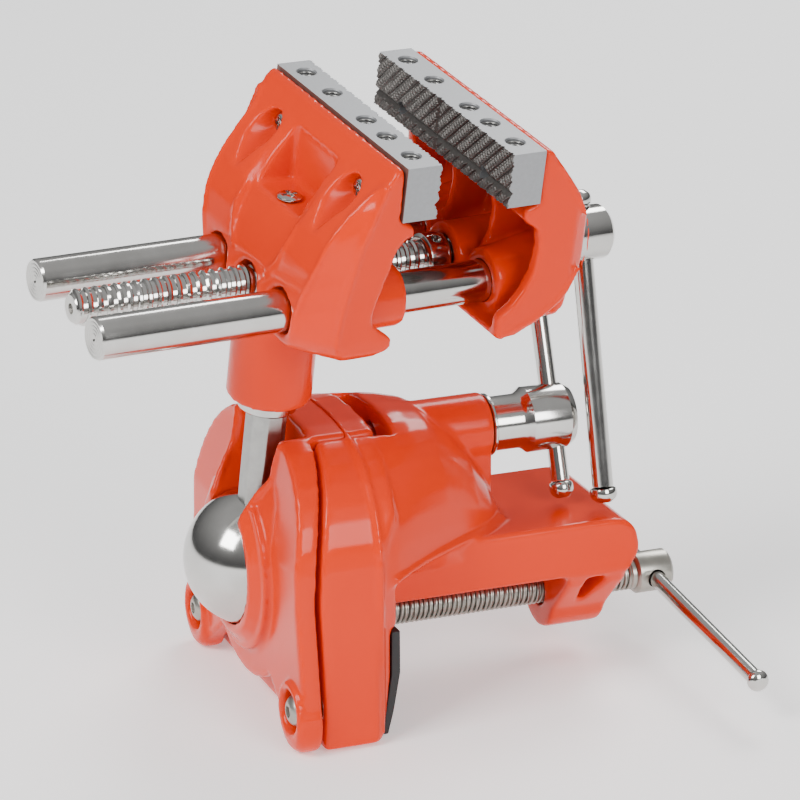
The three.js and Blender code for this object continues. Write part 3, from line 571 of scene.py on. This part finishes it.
class VISE_OT_fixed_jaw(bpy.types.Operator):
    """The fixed jaw casting with its shield, pockets, ribs and sleeve"""

    bl_idname = "vise.fixed_jaw"
    bl_label = "Fixed jaw"

    def execute(self, context):
        half = extent("fixed_jaw", HEAD)[1].x
        crease = [(36.2, 8.7, 131.6), (33.4, 6, 128), (32.1, 0, 121), (31.7, -4.7, 114), (31.2, -8, 106),
                  (29.1, -9.8, 98), (26.6, -10.2, 90.6), (25, -10, 85)]
        edge = [(half, 8.8, 131.4), (half, 7.2, 127), (half, 5.1, 121), (half, 2.6, 114), (half, 0.8, 106),
                (half, -1, 98), (half, -2, 90.6), (half - 0.4, -1.8, 84.6)]
        flute = [(15, -4.6, 113), (14.6, -7.6, 107), (12.6, -9.2, 101), (9.4, -10.4, 96.4)]
        sleeve_radius = 12.2
        spindle_bore = 6.2
        post_bore = 5.8
        additions = [bore_z(sleeve_radius, 53, 80),
                     bead([(1 - half, 12.6, 135.2), (half - 1, 12.6, 135.2)], 1.0)]
        for side in (-1, 1):
            for path, radius in ((crease, 0.7), (edge, 0.6), (flute, 0.9)):
                additions.append(bead(curved([(side * x, y, z) for x, y, z in path]), radius))
        rods = [extent(f"guide_rod_{label}", HEAD) for label in ("left", "right")]
        cuts = [bore(r_of(box) + 0.55, -30, 40, *centre_xz(box)) for box in rods]
        cuts.append(bore(spindle_bore, -30, 20, *centre_xz(extent("spindle", HEAD))))
        cuts.append(bore_z(post_bore, 40, 76, 48))
        piece = casting("fixed_jaw", 1, additions, cuts, HEAD)
        finished(piece, "fixed_jaw", finish_named("sprayed_enamel"), ["fixed_jaw"], 50)
        return {"FINISHED"}


class VISE_OT_moving_jaw(bpy.types.Operator):
    """The moving jaw casting with its crescent cheeks, webs and rod bosses"""

    bl_idname = "vise.moving_jaw"
    bl_label = "Moving jaw"

    def execute(self, context):
        front = extent("moving_jaw", HEAD)[0].y
        rim = [(63.5, 131.4), (68.6, 124.6), (73.6, 116), (75.6, 107), (74.4, 99.6), (71, 93), (65.8, 87.6),
               (59.6, 84), (53.4, 82.2)]
        additions = [bead(curved([(side * 37.3, y, z) for y, z in rim]), 0.5, 8) for side in (-1, 1)]
        rods = [extent(f"guide_rod_{label}", HEAD) for label in ("left", "right")]
        flare = [(9.4, front + 5), (9.6, front + 9), (11, front + 16), (13, front + 26)]
        for box in rods:
            additions.append(moved(turned(flare, 64), along_y(IN_PLACE, *centre_xz(box))))
        cuts = [bore(r_of(box) + 0.2, 20, box[1].y + 0.3, *centre_xz(box)) for box in rods]
        piece = casting("moving_jaw", 2, additions, cuts, HEAD)
        finished(piece, "moving_jaw", finish_named("sprayed_enamel"), ["moving_jaw"], 50)
        return {"FINISHED"}


# ------------------------------------------------------------------ jaw plates
def groove(distance, half, depth):
    """Depth of a V-groove at a distance from its line."""
    return depth * max(0.0, 1 - abs(distance) / half)


def grip_relief(x, z, sizes):
    """How far the gripping face lies below its tops, from the rolled pattern and its grooves."""
    pitch = sizes.grip_pitch / MM
    steep = (x - z) / math.sqrt(2) % pitch - pitch / 2
    middle = (x - z) / math.sqrt(2) % (pitch / 2) - pitch / 4
    fine = (x * 0.77 + z * 0.64) % (pitch / 2.4) - pitch / 4.8
    return max(groove(steep, 0.55, 0.85), groove(middle, 0.35, 0.3), groove(fine, 0.5, 0.5))


def plate_solid(box, facing, sizes):
    """A plate with its patterned face on the side given by facing, -1 or 1."""
    low, high = box
    face, back = (low.y, high.y) if facing < 0 else (high.y, low.y)
    cell = 0.25
    columns = round((high.x - low.x) / cell)
    rows = round((high.z - low.z) / cell)
    # two holding grooves cross the pattern: one level for bars, one upright for posts
    bar_line = low.z + 4.25
    post_line = (low.x + high.x) / 2 + 3 * facing
    mesh = bmesh.new()
    grid = []
    for row in range(rows + 1):
        z = low.z + (high.z - low.z) * row / rows
        line = []
        for column in range(columns + 1):
            x = low.x + (high.x - low.x) * column / columns
            depth = max(grip_relief(x, z, sizes), groove(z - bar_line, 1.4, 1.4),
                        groove(x - post_line, 0.9, 1.1))
            line.append(mesh.verts.new((x, face - facing * depth, z)))
        grid.append(line)
    for lower, upper in zip(grid, grid[1:]):
        for column in range(columns):
            corners = (lower[column], lower[column + 1], upper[column + 1], upper[column])
            mesh.faces.new(corners).material_index = 1
    rim = [*grid[0], *[line[-1] for line in grid[1:]], *grid[-1][-2::-1],
           *[line[0] for line in grid[-2:0:-1]]]
    rear = [mesh.verts.new((vertex.co.x, back, vertex.co.z)) for vertex in rim]
    for index, vertex in enumerate(rim):
        after = (index + 1) % len(rim)
        mesh.faces.new((rim[after], vertex, rear[index], rear[after]))
    mesh.faces.new(rear).material_index = 2
    return mesh


def hole_row(box):
    """Where the threaded holes stand along the top of a plate."""
    low, high = box
    return [low.x + (high.x - low.x) * share for share in (0.1, 0.3, 0.56, 0.713, 0.893)]


class VISE_OT_jaw_plates(bpy.types.Operator):
    """Both jaw plates, with the rolled grip pattern and the row of threaded holes"""

    bl_idname = "vise.jaw_plates"
    bl_label = "Jaw plates"

    def execute(self, context):
        sizes = context.scene.vise_plates
        for body, facing in (("fixed_jaw", 1), ("moving_jaw", -1)):
            node = f"{body}_plate"
            box = extent(node, HEAD)
            low, high = box
            piece = made(node + "_steel", plate_solid(box, facing, sizes), HEAD)
            # the patterned face takes the plate steel darkened with painted shade of its grooves
            for name in ("cast_plate", "rolled_grip", "oxide_edge"):
                piece.data.materials.append(finish_named(name))
            middle = (low.y + high.y) / 2
            holes = [(x, middle, high.z) for x in hole_row(box)]
            hole_radius = 2.6
            mouth_radius = 3.0
            drills = []
            for x, y, z in holes:
                drill = turned([(hole_radius, -9), (hole_radius, -0.4), (mouth_radius, 0.05),
                                (mouth_radius, 2)], 40)
                drills.append(made("drill", moved(drill, Matrix.Translation((x, y, z))), HEAD))
            for label in ("left", "right"):
                x, z = centre_xz(extent(f"{body.split('_')[0]}_plate_screw_{label}", HEAD))
                drills.append(made("drill", bore(1.9, low.y - 3, high.y + 3, x, z, 32), HEAD))
            combine(piece, drills)
            finished(piece, body, finish_named("cast_plate"), [node], 24)
            coil = made("coil", turned([(0.02, 0), (0.02, 0.02)], 8), AT_ORIGIN)
            steel = finish_named("ground_steel")
            run_nodes(coil, tree_named("wound_thread", thread_tree), {
                "Radius": 2.55 * MM, "Pitch": 0.9 * MM, "Length": 7.2 * MM, "Ridge": 0.28 * MM,
                "Start": -8 * MM, "Steps": 24, "Material": steel})
            threads = copies(node + "_threads", coil, [HEAD @ Vector(hole) for hole in holes],
                             HEAD.to_quaternion(), steel)
            shade(threads, 60)
            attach(threads, body)
        return {"FINISHED"}


# ------------------------------------------------------------------ screws
def cross_recess(radius, depth):
    """Cutters for a crossed slot in a screw head whose top is at height 0."""
    arm = 0.32 * radius / 2
    return [block((-radius * 0.62, -arm, -depth), (radius * 0.62, arm, 1)),
            block((-arm, -radius * 0.62, -depth), (arm, radius * 0.62, 1))]


def pan_screw(radius, height, shank):
    """A pan head with a crossed slot, along the third axis at the origin, its top at height 0."""
    profile = [(shank, -height - 6), (shank, -height), (radius * 0.96, -height), (radius, -height * 0.8),
               (radius * 0.97, -height * 0.5), (radius * 0.8, -height * 0.18), (radius * 0.5, -height * 0.04),
               (radius * 0.05, 0)]
    head = made("screw", turned(profile, 48), AT_ORIGIN)
    combine(head, [made("slot", cut, AT_ORIGIN) for cut in cross_recess(radius, height * 0.6)])
    return soften(head, 0.08, 2, 40)


class VISE_OT_screws(bpy.types.Operator):
    """The plate screws, the nut screw and the two button-head cover screws"""

    bl_idname = "vise.screws"
    bl_label = "Small screws"

    def execute(self, context):
        chrome = finish_named("chrome_plate")
        for body, facing in (("fixed", -1), ("moving", 1)):
            nodes = [f"{body}_plate_screw_{label}" for label in ("left", "right")]
            boxes = [extent(node, HEAD) for node in nodes]
            tops = [(*centre_xz(box), box[0].y if facing < 0 else box[1].y) for box in boxes]
            points = [HEAD @ Vector((x, y, z)) for x, z, y in tops]
            turn = HEAD.to_quaternion().to_matrix() @ Matrix.Rotation(-facing * math.pi / 2, 3, "X")
            piece = copies(f"{body}_plate_screws", pan_screw(3.2, 2.0, 1.3), points, turn.to_quaternion(),
                           chrome)
            finished(piece, f"{body}_jaw", chrome, nodes, 40)
        low, high = extent("nut_screw", HEAD)
        top = HEAD @ Vector(((low.x + high.x) / 2, (low.y + high.y) / 2, high.z))
        piece = copies("nut_screw_head", pan_screw(3.6, 1.2, 1.8), [top], HEAD.to_quaternion(), chrome)
        finished(piece, "fixed_jaw", chrome, ["nut_screw"], 40)
        self.cover_screws()
        return {"FINISHED"}

    def cover_screws(self):
        boxes = [extent(node, BASE) for node in COVER_SCREWS]
        points = []
        for box in boxes:
            x, z = centre_xz(box)
            points.append(BASE @ Vector((x, box[0].y - 0.7, z)))
        radius = r_of(boxes[0])
        dome = [(2.5, -9), (2.5, -2.6), (radius, -2.6), (radius, -2.3), (radius * 0.94, -1.5),
                (radius * 0.8, -0.75), (radius * 0.6, -0.2), (radius * 0.5, 0), (0.1, 0)]
        head = made("screw", turned(dome, 64), AT_ORIGIN)
        combine(head, [made("socket", turned([(1.9, -1.7), (1.9, 1)], 6), AT_ORIGIN)])
        soften(head, 0.08, 2, 40)
        turn = Matrix.Rotation(math.pi / 2, 3, "X").to_quaternion()
        zinc = finish_named("zinc_plate")
        piece = copies("cover_screws", head, points, turn, zinc)
        finished(piece, "clamp_base", zinc, COVER_SCREWS, 40)


# ------------------------------------------------------------------ spindle, rods and bars
def bar_place(node, joint):
    """A frame at the middle of a bar with its third axis along it."""
    low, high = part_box(node)
    axis = Vector(JOINTS[joint]["axis"]).normalized()
    across = axis.cross(Vector((0, 1, 0))).normalized()
    return placed((low + high) / 2, across.cross(axis) * -1, axis)


def bar_hole(bar, clearance=0.4, overrun=60):
    """The cutter for a bar's cross hole."""
    place = bar_place(bar, f"{bar}_slide")
    low, high = extent(bar, place)
    radius = r_of((low, high)) + clearance
    return made("cross", bore_z(radius, low.z - overrun, high.z + overrun, 48), place)


class VISE_OT_spindle(bpy.types.Operator):
    """The main spindle with its rolled thread, its crossed head and its collar"""

    bl_idname = "vise.spindle"
    bl_label = "Spindle"

    def execute(self, context):
        sizes = context.scene.vise_threads
        chrome = finish_named("chrome_plate")
        low, high = extent("spindle", HEAD)
        x, z = centre_xz((low, high))
        radius = 5.3
        centre_hole = 1.5
        head_length = 21.9
        head_front = high.y - head_length
        head_radius = r_of((low, high))
        pitch = sizes.spindle_pitch / MM
        core = radius - 0.25 * pitch
        place = along_y(HEAD, x, z)
        profile = [(centre_hole, low.y + 1.4), (centre_hole, low.y), (core - 0.8, low.y), (core, low.y + 1),
                   (core, head_front - 12), (radius, head_front - 10.5), (radius, head_front),
                   (head_radius - 0.7, head_front), (head_radius, head_front + 0.7),
                   (head_radius, high.y - 1.2), (head_radius - 1.2, high.y)]
        piece = made("spindle_steel", turned(profile, 96), place)
        combine(piece, [bar_hole("main_bar")])
        soften(piece, 0.25)
        threaded(piece, place, radius, pitch, low.y + 0.8, head_front - 13 - low.y, 40, chrome)
        finished(piece, "spindle", chrome, ["spindle"], 40)
        low, high = extent("spindle_collar", HEAD)
        outer = r_of((low, high))
        ring = collar_profile(radius + 0.2, outer, low.y, high.y, 0.8)
        collar = made("spindle_collar_steel", turned(ring, 72), place)
        pin = made("pin", bore_z(1.5, outer - 2.5, outer + 3, 24), HEAD @ Matrix.Translation(
            (x, (low.y + high.y) / 2, z)) @ Matrix.Rotation(math.radians(20), 4, "Y"))
        combine(collar, [pin])
        soften(collar, 0.15)
        finished(collar, "spindle", chrome, ["spindle_collar"], 40)
        return {"FINISHED"}


class VISE_OT_guide_rods(bpy.types.Operator):
    """The two plain guide rods, faced and ringed at their free ends"""

    bl_idname = "vise.guide_rods"
    bl_label = "Guide rods"

    def execute(self, context):
        for label in ("left", "right"):
            node = f"guide_rod_{label}"
            low, high = extent(node, HEAD)
            radius = r_of((low, high))
            rings = []
            for ring in range(5):
                out = 0.6 + ring * 1.05
                rings += [(out, low.y + 0.12), (out + 0.35, low.y + 0.02), (out + 0.75, low.y + 0.02)]
            profile = [(0.05, low.y + 0.5), *rings, (radius - 0.5, low.y + 0.08), (radius, low.y + 0.8),
                       (radius, high.y - 0.4), (radius - 0.4, high.y)]
            profile = [(min(r, radius), y) for r, y in profile]
            piece = made(node + "_steel", turned(profile, 96), along_y(HEAD, *centre_xz((low, high))))
            finished(piece, "moving_jaw", finish_named("chrome_plate"), [node], 30)
        return {"FINISHED"}


class VISE_OT_bars(bpy.types.Operator):
    """The three handle bars with the pressed button on each end"""

    bl_idname = "vise.bars"
    bl_label = "Handle bars"

    def execute(self, context):
        chrome = finish_named("chrome_plate")
        for prefix, body in (("main", "main_bar"), ("lock", "lock_bar"), ("clamp", "clamp_bar")):
            place = bar_place(f"{prefix}_bar", f"{prefix}_bar_slide")
            low, high = extent(f"{prefix}_bar", place)
            radius = r_of((low, high))
            rod = made(f"{prefix}_bar_steel", turned([(radius, low.z), (radius, high.z)], 64), place)
            finished(rod, body, chrome, [f"{prefix}_bar"])
            for end, way in (("top", 1), ("end", -1)):
                node = f"{prefix}_bar_knob_{end}"
                low, high = extent(node, place)
                button = r_of((low, high))
                seat, tip = (low.z, high.z) if way > 0 else (high.z, low.z)
                height = abs(tip - seat)
                # shares of the button's radius and of its height
                shape = [(0.7, 0), (0.94, 0.12), (1, 0.28), (1, 0.52), (0.93, 0.7), (0.8, 0.82),
                         (0.66, 0.9), (0.56, 0.98), (0.4, 1)]
                profile = [(button * wide, seat + way * height * share) for wide, share in shape]
                knob = made(node + "_steel", turned(profile, 64), place)
                finished(knob, body, chrome, [node], 40)
        return {"FINISHED"}


# ------------------------------------------------------------------ ball, lock and clamp
class VISE_OT_ball_post(bpy.types.Operator):
    """The polished ball with its octagonal post and the collar under the jaw"""

    bl_idname = "vise.ball_post"
    bl_label = "Ball and post"

    def execute(self, context):
        high = extent("ball_stud", HEAD)[1]
        ball = high.x
        arcs = [math.pi * (step + 0.05) / 64 for step in range(64)]
        sphere = turned([(ball * math.sin(a), -ball * math.cos(a)) for a in arcs], 128)
        low, top = extent("post_collar", HEAD)
        flats = turned([(6, ball * 0.9), (6, low.z - 0.3)], 8, math.pi / 8)
        post = made("post", flats, HEAD)
        soften(post, 0.45, 3)
        neck = made("neck", bore_z(5.5, low.z - 1, high.z), HEAD)
        piece = made("ball_and_post", sphere, HEAD)
        combine(piece, [post, neck], "UNION")
        steel = finish_named("ground_steel")
        finished(piece, "ball_stud", steel, ["ball_stud"], 30)
        piece.data.materials.append(finish_named("chrome_plate"))
        centre = HEAD.translation
        for polygon in piece.data.polygons:
            on_ball = abs((polygon.center - centre).length - ball * MM) < 0.2 * MM
            polygon.material_index = 1 if on_ball else 0
        ring = collar_profile(5.9, r_of((low, top)), low.z, top.z, 0.7, 0.4)
        collar = made("post_collar_steel", turned(ring, 96), HEAD)
        finished(collar, "ball_stud", finish_named("chrome_plate"), ["post_collar"], 40)
        return {"FINISHED"}


class VISE_OT_lock(bpy.types.Operator):
    """The lock screw that squeezes the ball, and its washer"""

    bl_idname = "vise.lock"
    bl_label = "Lock screw"

    def execute(self, context):
        chrome = finish_named("chrome_plate")
        low, high = extent("lock_screw", BASE)
        wide = r_of((low, high))
        washer_low, washer_high = extent("lock_washer", BASE)
        place = along_y(BASE, 0, lock_line())
        shoulder = washer_high.y + 0.3
        stem = 5
        neck = 8
        profile = [(stem, low.y), (stem, shoulder), (neck, shoulder), (neck, high.y - 17.4),
                   (8.6, high.y - 16), (wide, high.y - 14.7), (wide, high.y - 3),
                   (wide - 1.2, high.y - 0.9), (wide - 3.4, high.y)]
        piece = made("lock_screw_steel", turned(profile, 96), place)
        combine(piece, [bar_hole("lock_bar")])
        soften(piece, 0.3, 3, 24)
        finished(piece, "lock_screw", chrome, ["lock_screw"], 40)
        outer = r_of((washer_low, washer_high))
        ring = collar_profile(5.4, outer, washer_low.y, washer_high.y, 0.3)
        washer = made("lock_washer_steel", turned(ring, 72), place)
        finished(washer, "clamp_base", chrome, ["lock_washer"], 40)
        return {"FINISHED"}


class VISE_OT_clamp(bpy.types.Operator):
    """The clamp screw with its thread and crossed head, its swivel foot and the rubber pad"""

    bl_idname = "vise.clamp"
    bl_label = "Clamp screw, foot and pad"

    def execute(self, context):
        sizes = context.scene.vise_threads
        zinc = finish_named("zinc_plate")
        low, high = extent("clamp_screw", BASE)
        wide = r_of((low, high))
        place = along_y(BASE, 0, clamp_line())
        foot_low, foot_high = extent("clamp_foot", BASE)
        pitch = sizes.clamp_pitch / MM
        radius = 4.8
        core = radius - 0.6 * pitch
        head = high.y - 11.6
        profile = [(3, low.y), (3, foot_high.y + 0.4), (core, foot_high.y + 1.4), (core, head - 2),
                   (radius, head - 1.2), (radius, head), (wide - 0.8, head), (wide, head + 0.8),
                   (wide, high.y - 1), (wide - 1, high.y)]
        piece = made("clamp_screw_steel", turned(profile, 96), place)
        combine(piece, [bar_hole("clamp_bar")])
        soften(piece, 0.2)
        threaded(piece, place, radius, pitch, foot_high.y + 1.8, head - foot_high.y - 3.6, 32, zinc)
        finished(piece, "clamp_screw", zinc, ["clamp_screw"], 40)
        outer = r_of((foot_low, foot_high))
        swivel = [(outer - 1.2, foot_low.y), (outer - 0.3, foot_low.y + 0.2), (outer, foot_low.y + 0.9),
                  (outer - 0.1, foot_low.y + 2.4), (outer - 1, foot_low.y + 3), (6.9, foot_low.y + 3.6),
                  (6.4, foot_high.y - 0.5), (5.9, foot_high.y), (3.3, foot_high.y)]
        foot = made("clamp_foot_steel", turned(swivel, 96), place)
        finished(foot, "clamp_foot", zinc, ["clamp_foot"], 40)
        pad = packed_copy("bench_pad_rubber", "bench_pad")
        soften(pad, 0.8, 4, 40)
        finished(pad, "clamp_base", finish_named("moulded_rubber"), ["bench_pad"], 30)
        return {"FINISHED"}


class VISE_OT_inner_parts(bpy.types.Operator):
    """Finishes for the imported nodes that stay: the ball seat and the spindle nut"""

    bl_idname = "vise.inner_parts"
    bl_label = "Inner parts"

    def execute(self, context):
        for node, finish in (("ball_seat", "zinc_plate"), ("spindle_nut", "machined_brass")):
            data = frame["nodes"][node].data
            data.materials.clear()
            data.materials.append(finish_named(finish))
        return {"FINISHED"}


# ------------------------------------------------------------------ stage
class VISE_OT_stage(bpy.types.Operator):
    """Pale floor, soft studio light and the camera"""

    bl_idname = "vise.stage"
    bl_label = "Stage"

    def execute(self, context):
        self.floor()
        self.lights(context)
        self.camera(context)
        return {"FINISHED"}

    def floor(self):
        level = CAD_BOX[0].z
        reach = 6.0
        data = bpy.data.meshes.new("floor")
        corners = [(x * reach, y * reach, level) for x, y in ((-1, -1), (1, -1), (1, 1), (-1, 1))]
        data.from_pydata(corners, [], [(0, 1, 2, 3)])
        # matt white backdrop paper
        data.materials.append(surface("pale_floor", "#fafafa", "#fcfcfc", 400, (0.7, 0.75), 0.0, glow=0.4))
        floor = bpy.data.objects.new("floor", data)
        bpy.context.scene.collection.objects.link(floor)

    def lights(self, context):
        world = bpy.data.worlds.new("studio")
        context.scene.world = world
        world.use_nodes = True
        tree = world.node_tree
        tree.nodes.clear()
        ahead = add_node(tree, "ShaderNodeTexCoord").outputs["Generated"]
        height = add_node(tree, "ShaderNodeSeparateXYZ", None, {"Vector": ahead}).outputs["Z"]
        ramp = add_node(tree, "ShaderNodeValToRGB", None, {"Fac": height})
        ramp.color_ramp.elements[0].position = 0.0
        ramp.color_ramp.elements[0].color = (0.12, 0.12, 0.125, 1)
        ramp.color_ramp.elements[1].position = 0.8
        ramp.color_ramp.elements[1].color = (1.0, 1.0, 1.0, 1)
        sky = add_node(tree, "ShaderNodeBackground", None,
                       {"Color": ramp.outputs["Color"], "Strength": 0.55})
        add_node(tree, "ShaderNodeOutputWorld", None, {"Surface": sky.outputs["Background"]})
        target = Vector((0, 0, 0.04))
        lamps = (("key", (0.5, -1.3, 1.2), 0.8, 30), ("fill", (1.5, 0.3, 0.7), 0.7, 16),
                 ("rim", (-1.0, 0.9, 1.2), 0.7, 16))
        for name, place, size, power in lamps:
            data = bpy.data.lights.new(name, "AREA")
            data.size = size
            data.energy = power
            light = bpy.data.objects.new(name, data)
            light.location = place
            light.rotation_euler = (target - Vector(place)).to_track_quat("-Z", "Y").to_euler()
            context.scene.collection.objects.link(light)

    def camera(self, context):
        view = context.scene.vise_view
        around, above, roll = view.azimuth, view.elevation, view.roll
        back = Vector((math.sin(around) * math.cos(above), -math.cos(around) * math.cos(above),
                       math.sin(above)))
        level = Vector((math.cos(around), math.sin(around), 0))
        upright = back.cross(level)
        right = level * math.cos(roll) + upright * math.sin(roll)
        up = upright * math.cos(roll) - level * math.sin(roll)
        data = bpy.data.cameras.new("camera")
        data.lens = view.lens
        camera = bpy.data.objects.new("camera", data)
        turn = Matrix((right, up, back)).transposed().to_4x4()
        spot = BALL + right * view.aim_right + up * view.aim_up + back * view.distance
        camera.matrix_world = Matrix.Translation(spot) @ turn
        context.scene.collection.objects.link(camera)
        context.scene.camera = camera


# ------------------------------------------------------------------ settings and panel
class ViseFinish(bpy.types.PropertyGroup):
    enamel_dark: bpy.props.StringProperty(
        name="Enamel, deep", description="Deeper shade of the enamel, as an sRGB hex value",
        default="#d62c02")
    enamel_light: bpy.props.StringProperty(
        name="Enamel, light", description="Lighter shade of the enamel, as an sRGB hex value",
        default="#e23606")


class ViseCastings(bpy.types.PropertyGroup):
    voxel: bpy.props.FloatProperty(
        name="Cell", description="Cell size of the castings' skins", default=0.7 * MM, unit="LENGTH",
        precision=5)
    last_pass: bpy.props.IntProperty(
        name="Smoothing", description="Smoothing passes after the raised work is added", default=5, min=0)


class VisePlates(bpy.types.PropertyGroup):
    grip_pitch: bpy.props.FloatProperty(
        name="Grip pitch", description="Distance between the deep lines of the grip pattern",
        default=3.3 * MM, unit="LENGTH", precision=5)


class ViseThreads(bpy.types.PropertyGroup):
    spindle_pitch: bpy.props.FloatProperty(
        name="Spindle pitch", description="Thread spacing of the spindle", default=3 * MM, unit="LENGTH",
        precision=5)
    clamp_pitch: bpy.props.FloatProperty(
        name="Clamp pitch", description="Thread spacing of the clamp screw", default=1.5 * MM,
        unit="LENGTH", precision=5)


class ViseView(bpy.types.PropertyGroup):
    azimuth: bpy.props.FloatProperty(
        name="Azimuth", description="Turn of the camera about the vise", default=math.radians(69.0),
        subtype="ANGLE")
    elevation: bpy.props.FloatProperty(
        name="Elevation", description="Height of the camera above level", default=math.radians(18.8),
        subtype="ANGLE")
    roll: bpy.props.FloatProperty(
        name="Roll", description="Turn of the camera about its own line of sight",
        default=math.radians(-0.4), subtype="ANGLE")
    distance: bpy.props.FloatProperty(
        name="Distance", description="From the ball centre's depth to the camera", default=1.14067,
        unit="LENGTH")
    aim_right: bpy.props.FloatProperty(
        name="Aim right", description="How far right of the ball the camera aims", default=0.04253,
        unit="LENGTH")
    aim_up: bpy.props.FloatProperty(
        name="Aim up", description="How far above the ball the camera aims", default=0.04497, unit="LENGTH")
    lens: bpy.props.FloatProperty(
        name="Lens", description="Focal length in millimetres on a 36 mm sensor", default=178.2)


GROUPS = (
    ("vise_finish", ViseFinish),
    ("vise_castings", ViseCastings),
    ("vise_plates", VisePlates),
    ("vise_threads", ViseThreads),
    ("vise_view", ViseView),
)
OPERATORS = (
    VISE_OT_clamp_body,
    VISE_OT_socket_cover,
    VISE_OT_fixed_jaw,
    VISE_OT_moving_jaw,
    VISE_OT_jaw_plates,
    VISE_OT_screws,
    VISE_OT_spindle,
    VISE_OT_guide_rods,
    VISE_OT_bars,
    VISE_OT_ball_post,
    VISE_OT_lock,
    VISE_OT_clamp,
    VISE_OT_inner_parts,
    VISE_OT_stage,
)


class VISE_PT_panel(bpy.types.Panel):
    """Lists the vise's settings and builders"""

    bl_label = "Bench vise"
    bl_idname = "VISE_PT_panel"
    bl_space_type = "VIEW_3D"
    bl_region_type = "UI"
    bl_category = "Vise"

    def draw(self, context):
        for name, group in GROUPS:
            settings = getattr(context.scene, name)
            for label in group.__annotations__:
                self.layout.prop(settings, label)
        for operator in OPERATORS:
            self.layout.operator(operator.bl_idname)


def register():
    for name, group in GROUPS:
        bpy.utils.register_class(group)
        setattr(bpy.types.Scene, name, bpy.props.PointerProperty(type=group))
    for operator in OPERATORS:
        bpy.utils.register_class(operator)
    bpy.utils.register_class(VISE_PT_panel)


def unregister():
    bpy.utils.unregister_class(VISE_PT_panel)
    for operator in reversed(OPERATORS):
        bpy.utils.unregister_class(operator)
    for name, group in reversed(GROUPS):
        delattr(bpy.types.Scene, name)
        bpy.utils.unregister_class(group)


def main():
    register()
    for operator in OPERATORS:
        section, name = operator.bl_idname.split(".")
        getattr(getattr(bpy.ops, section), name)()


if __name__ == "__main__":
    main()
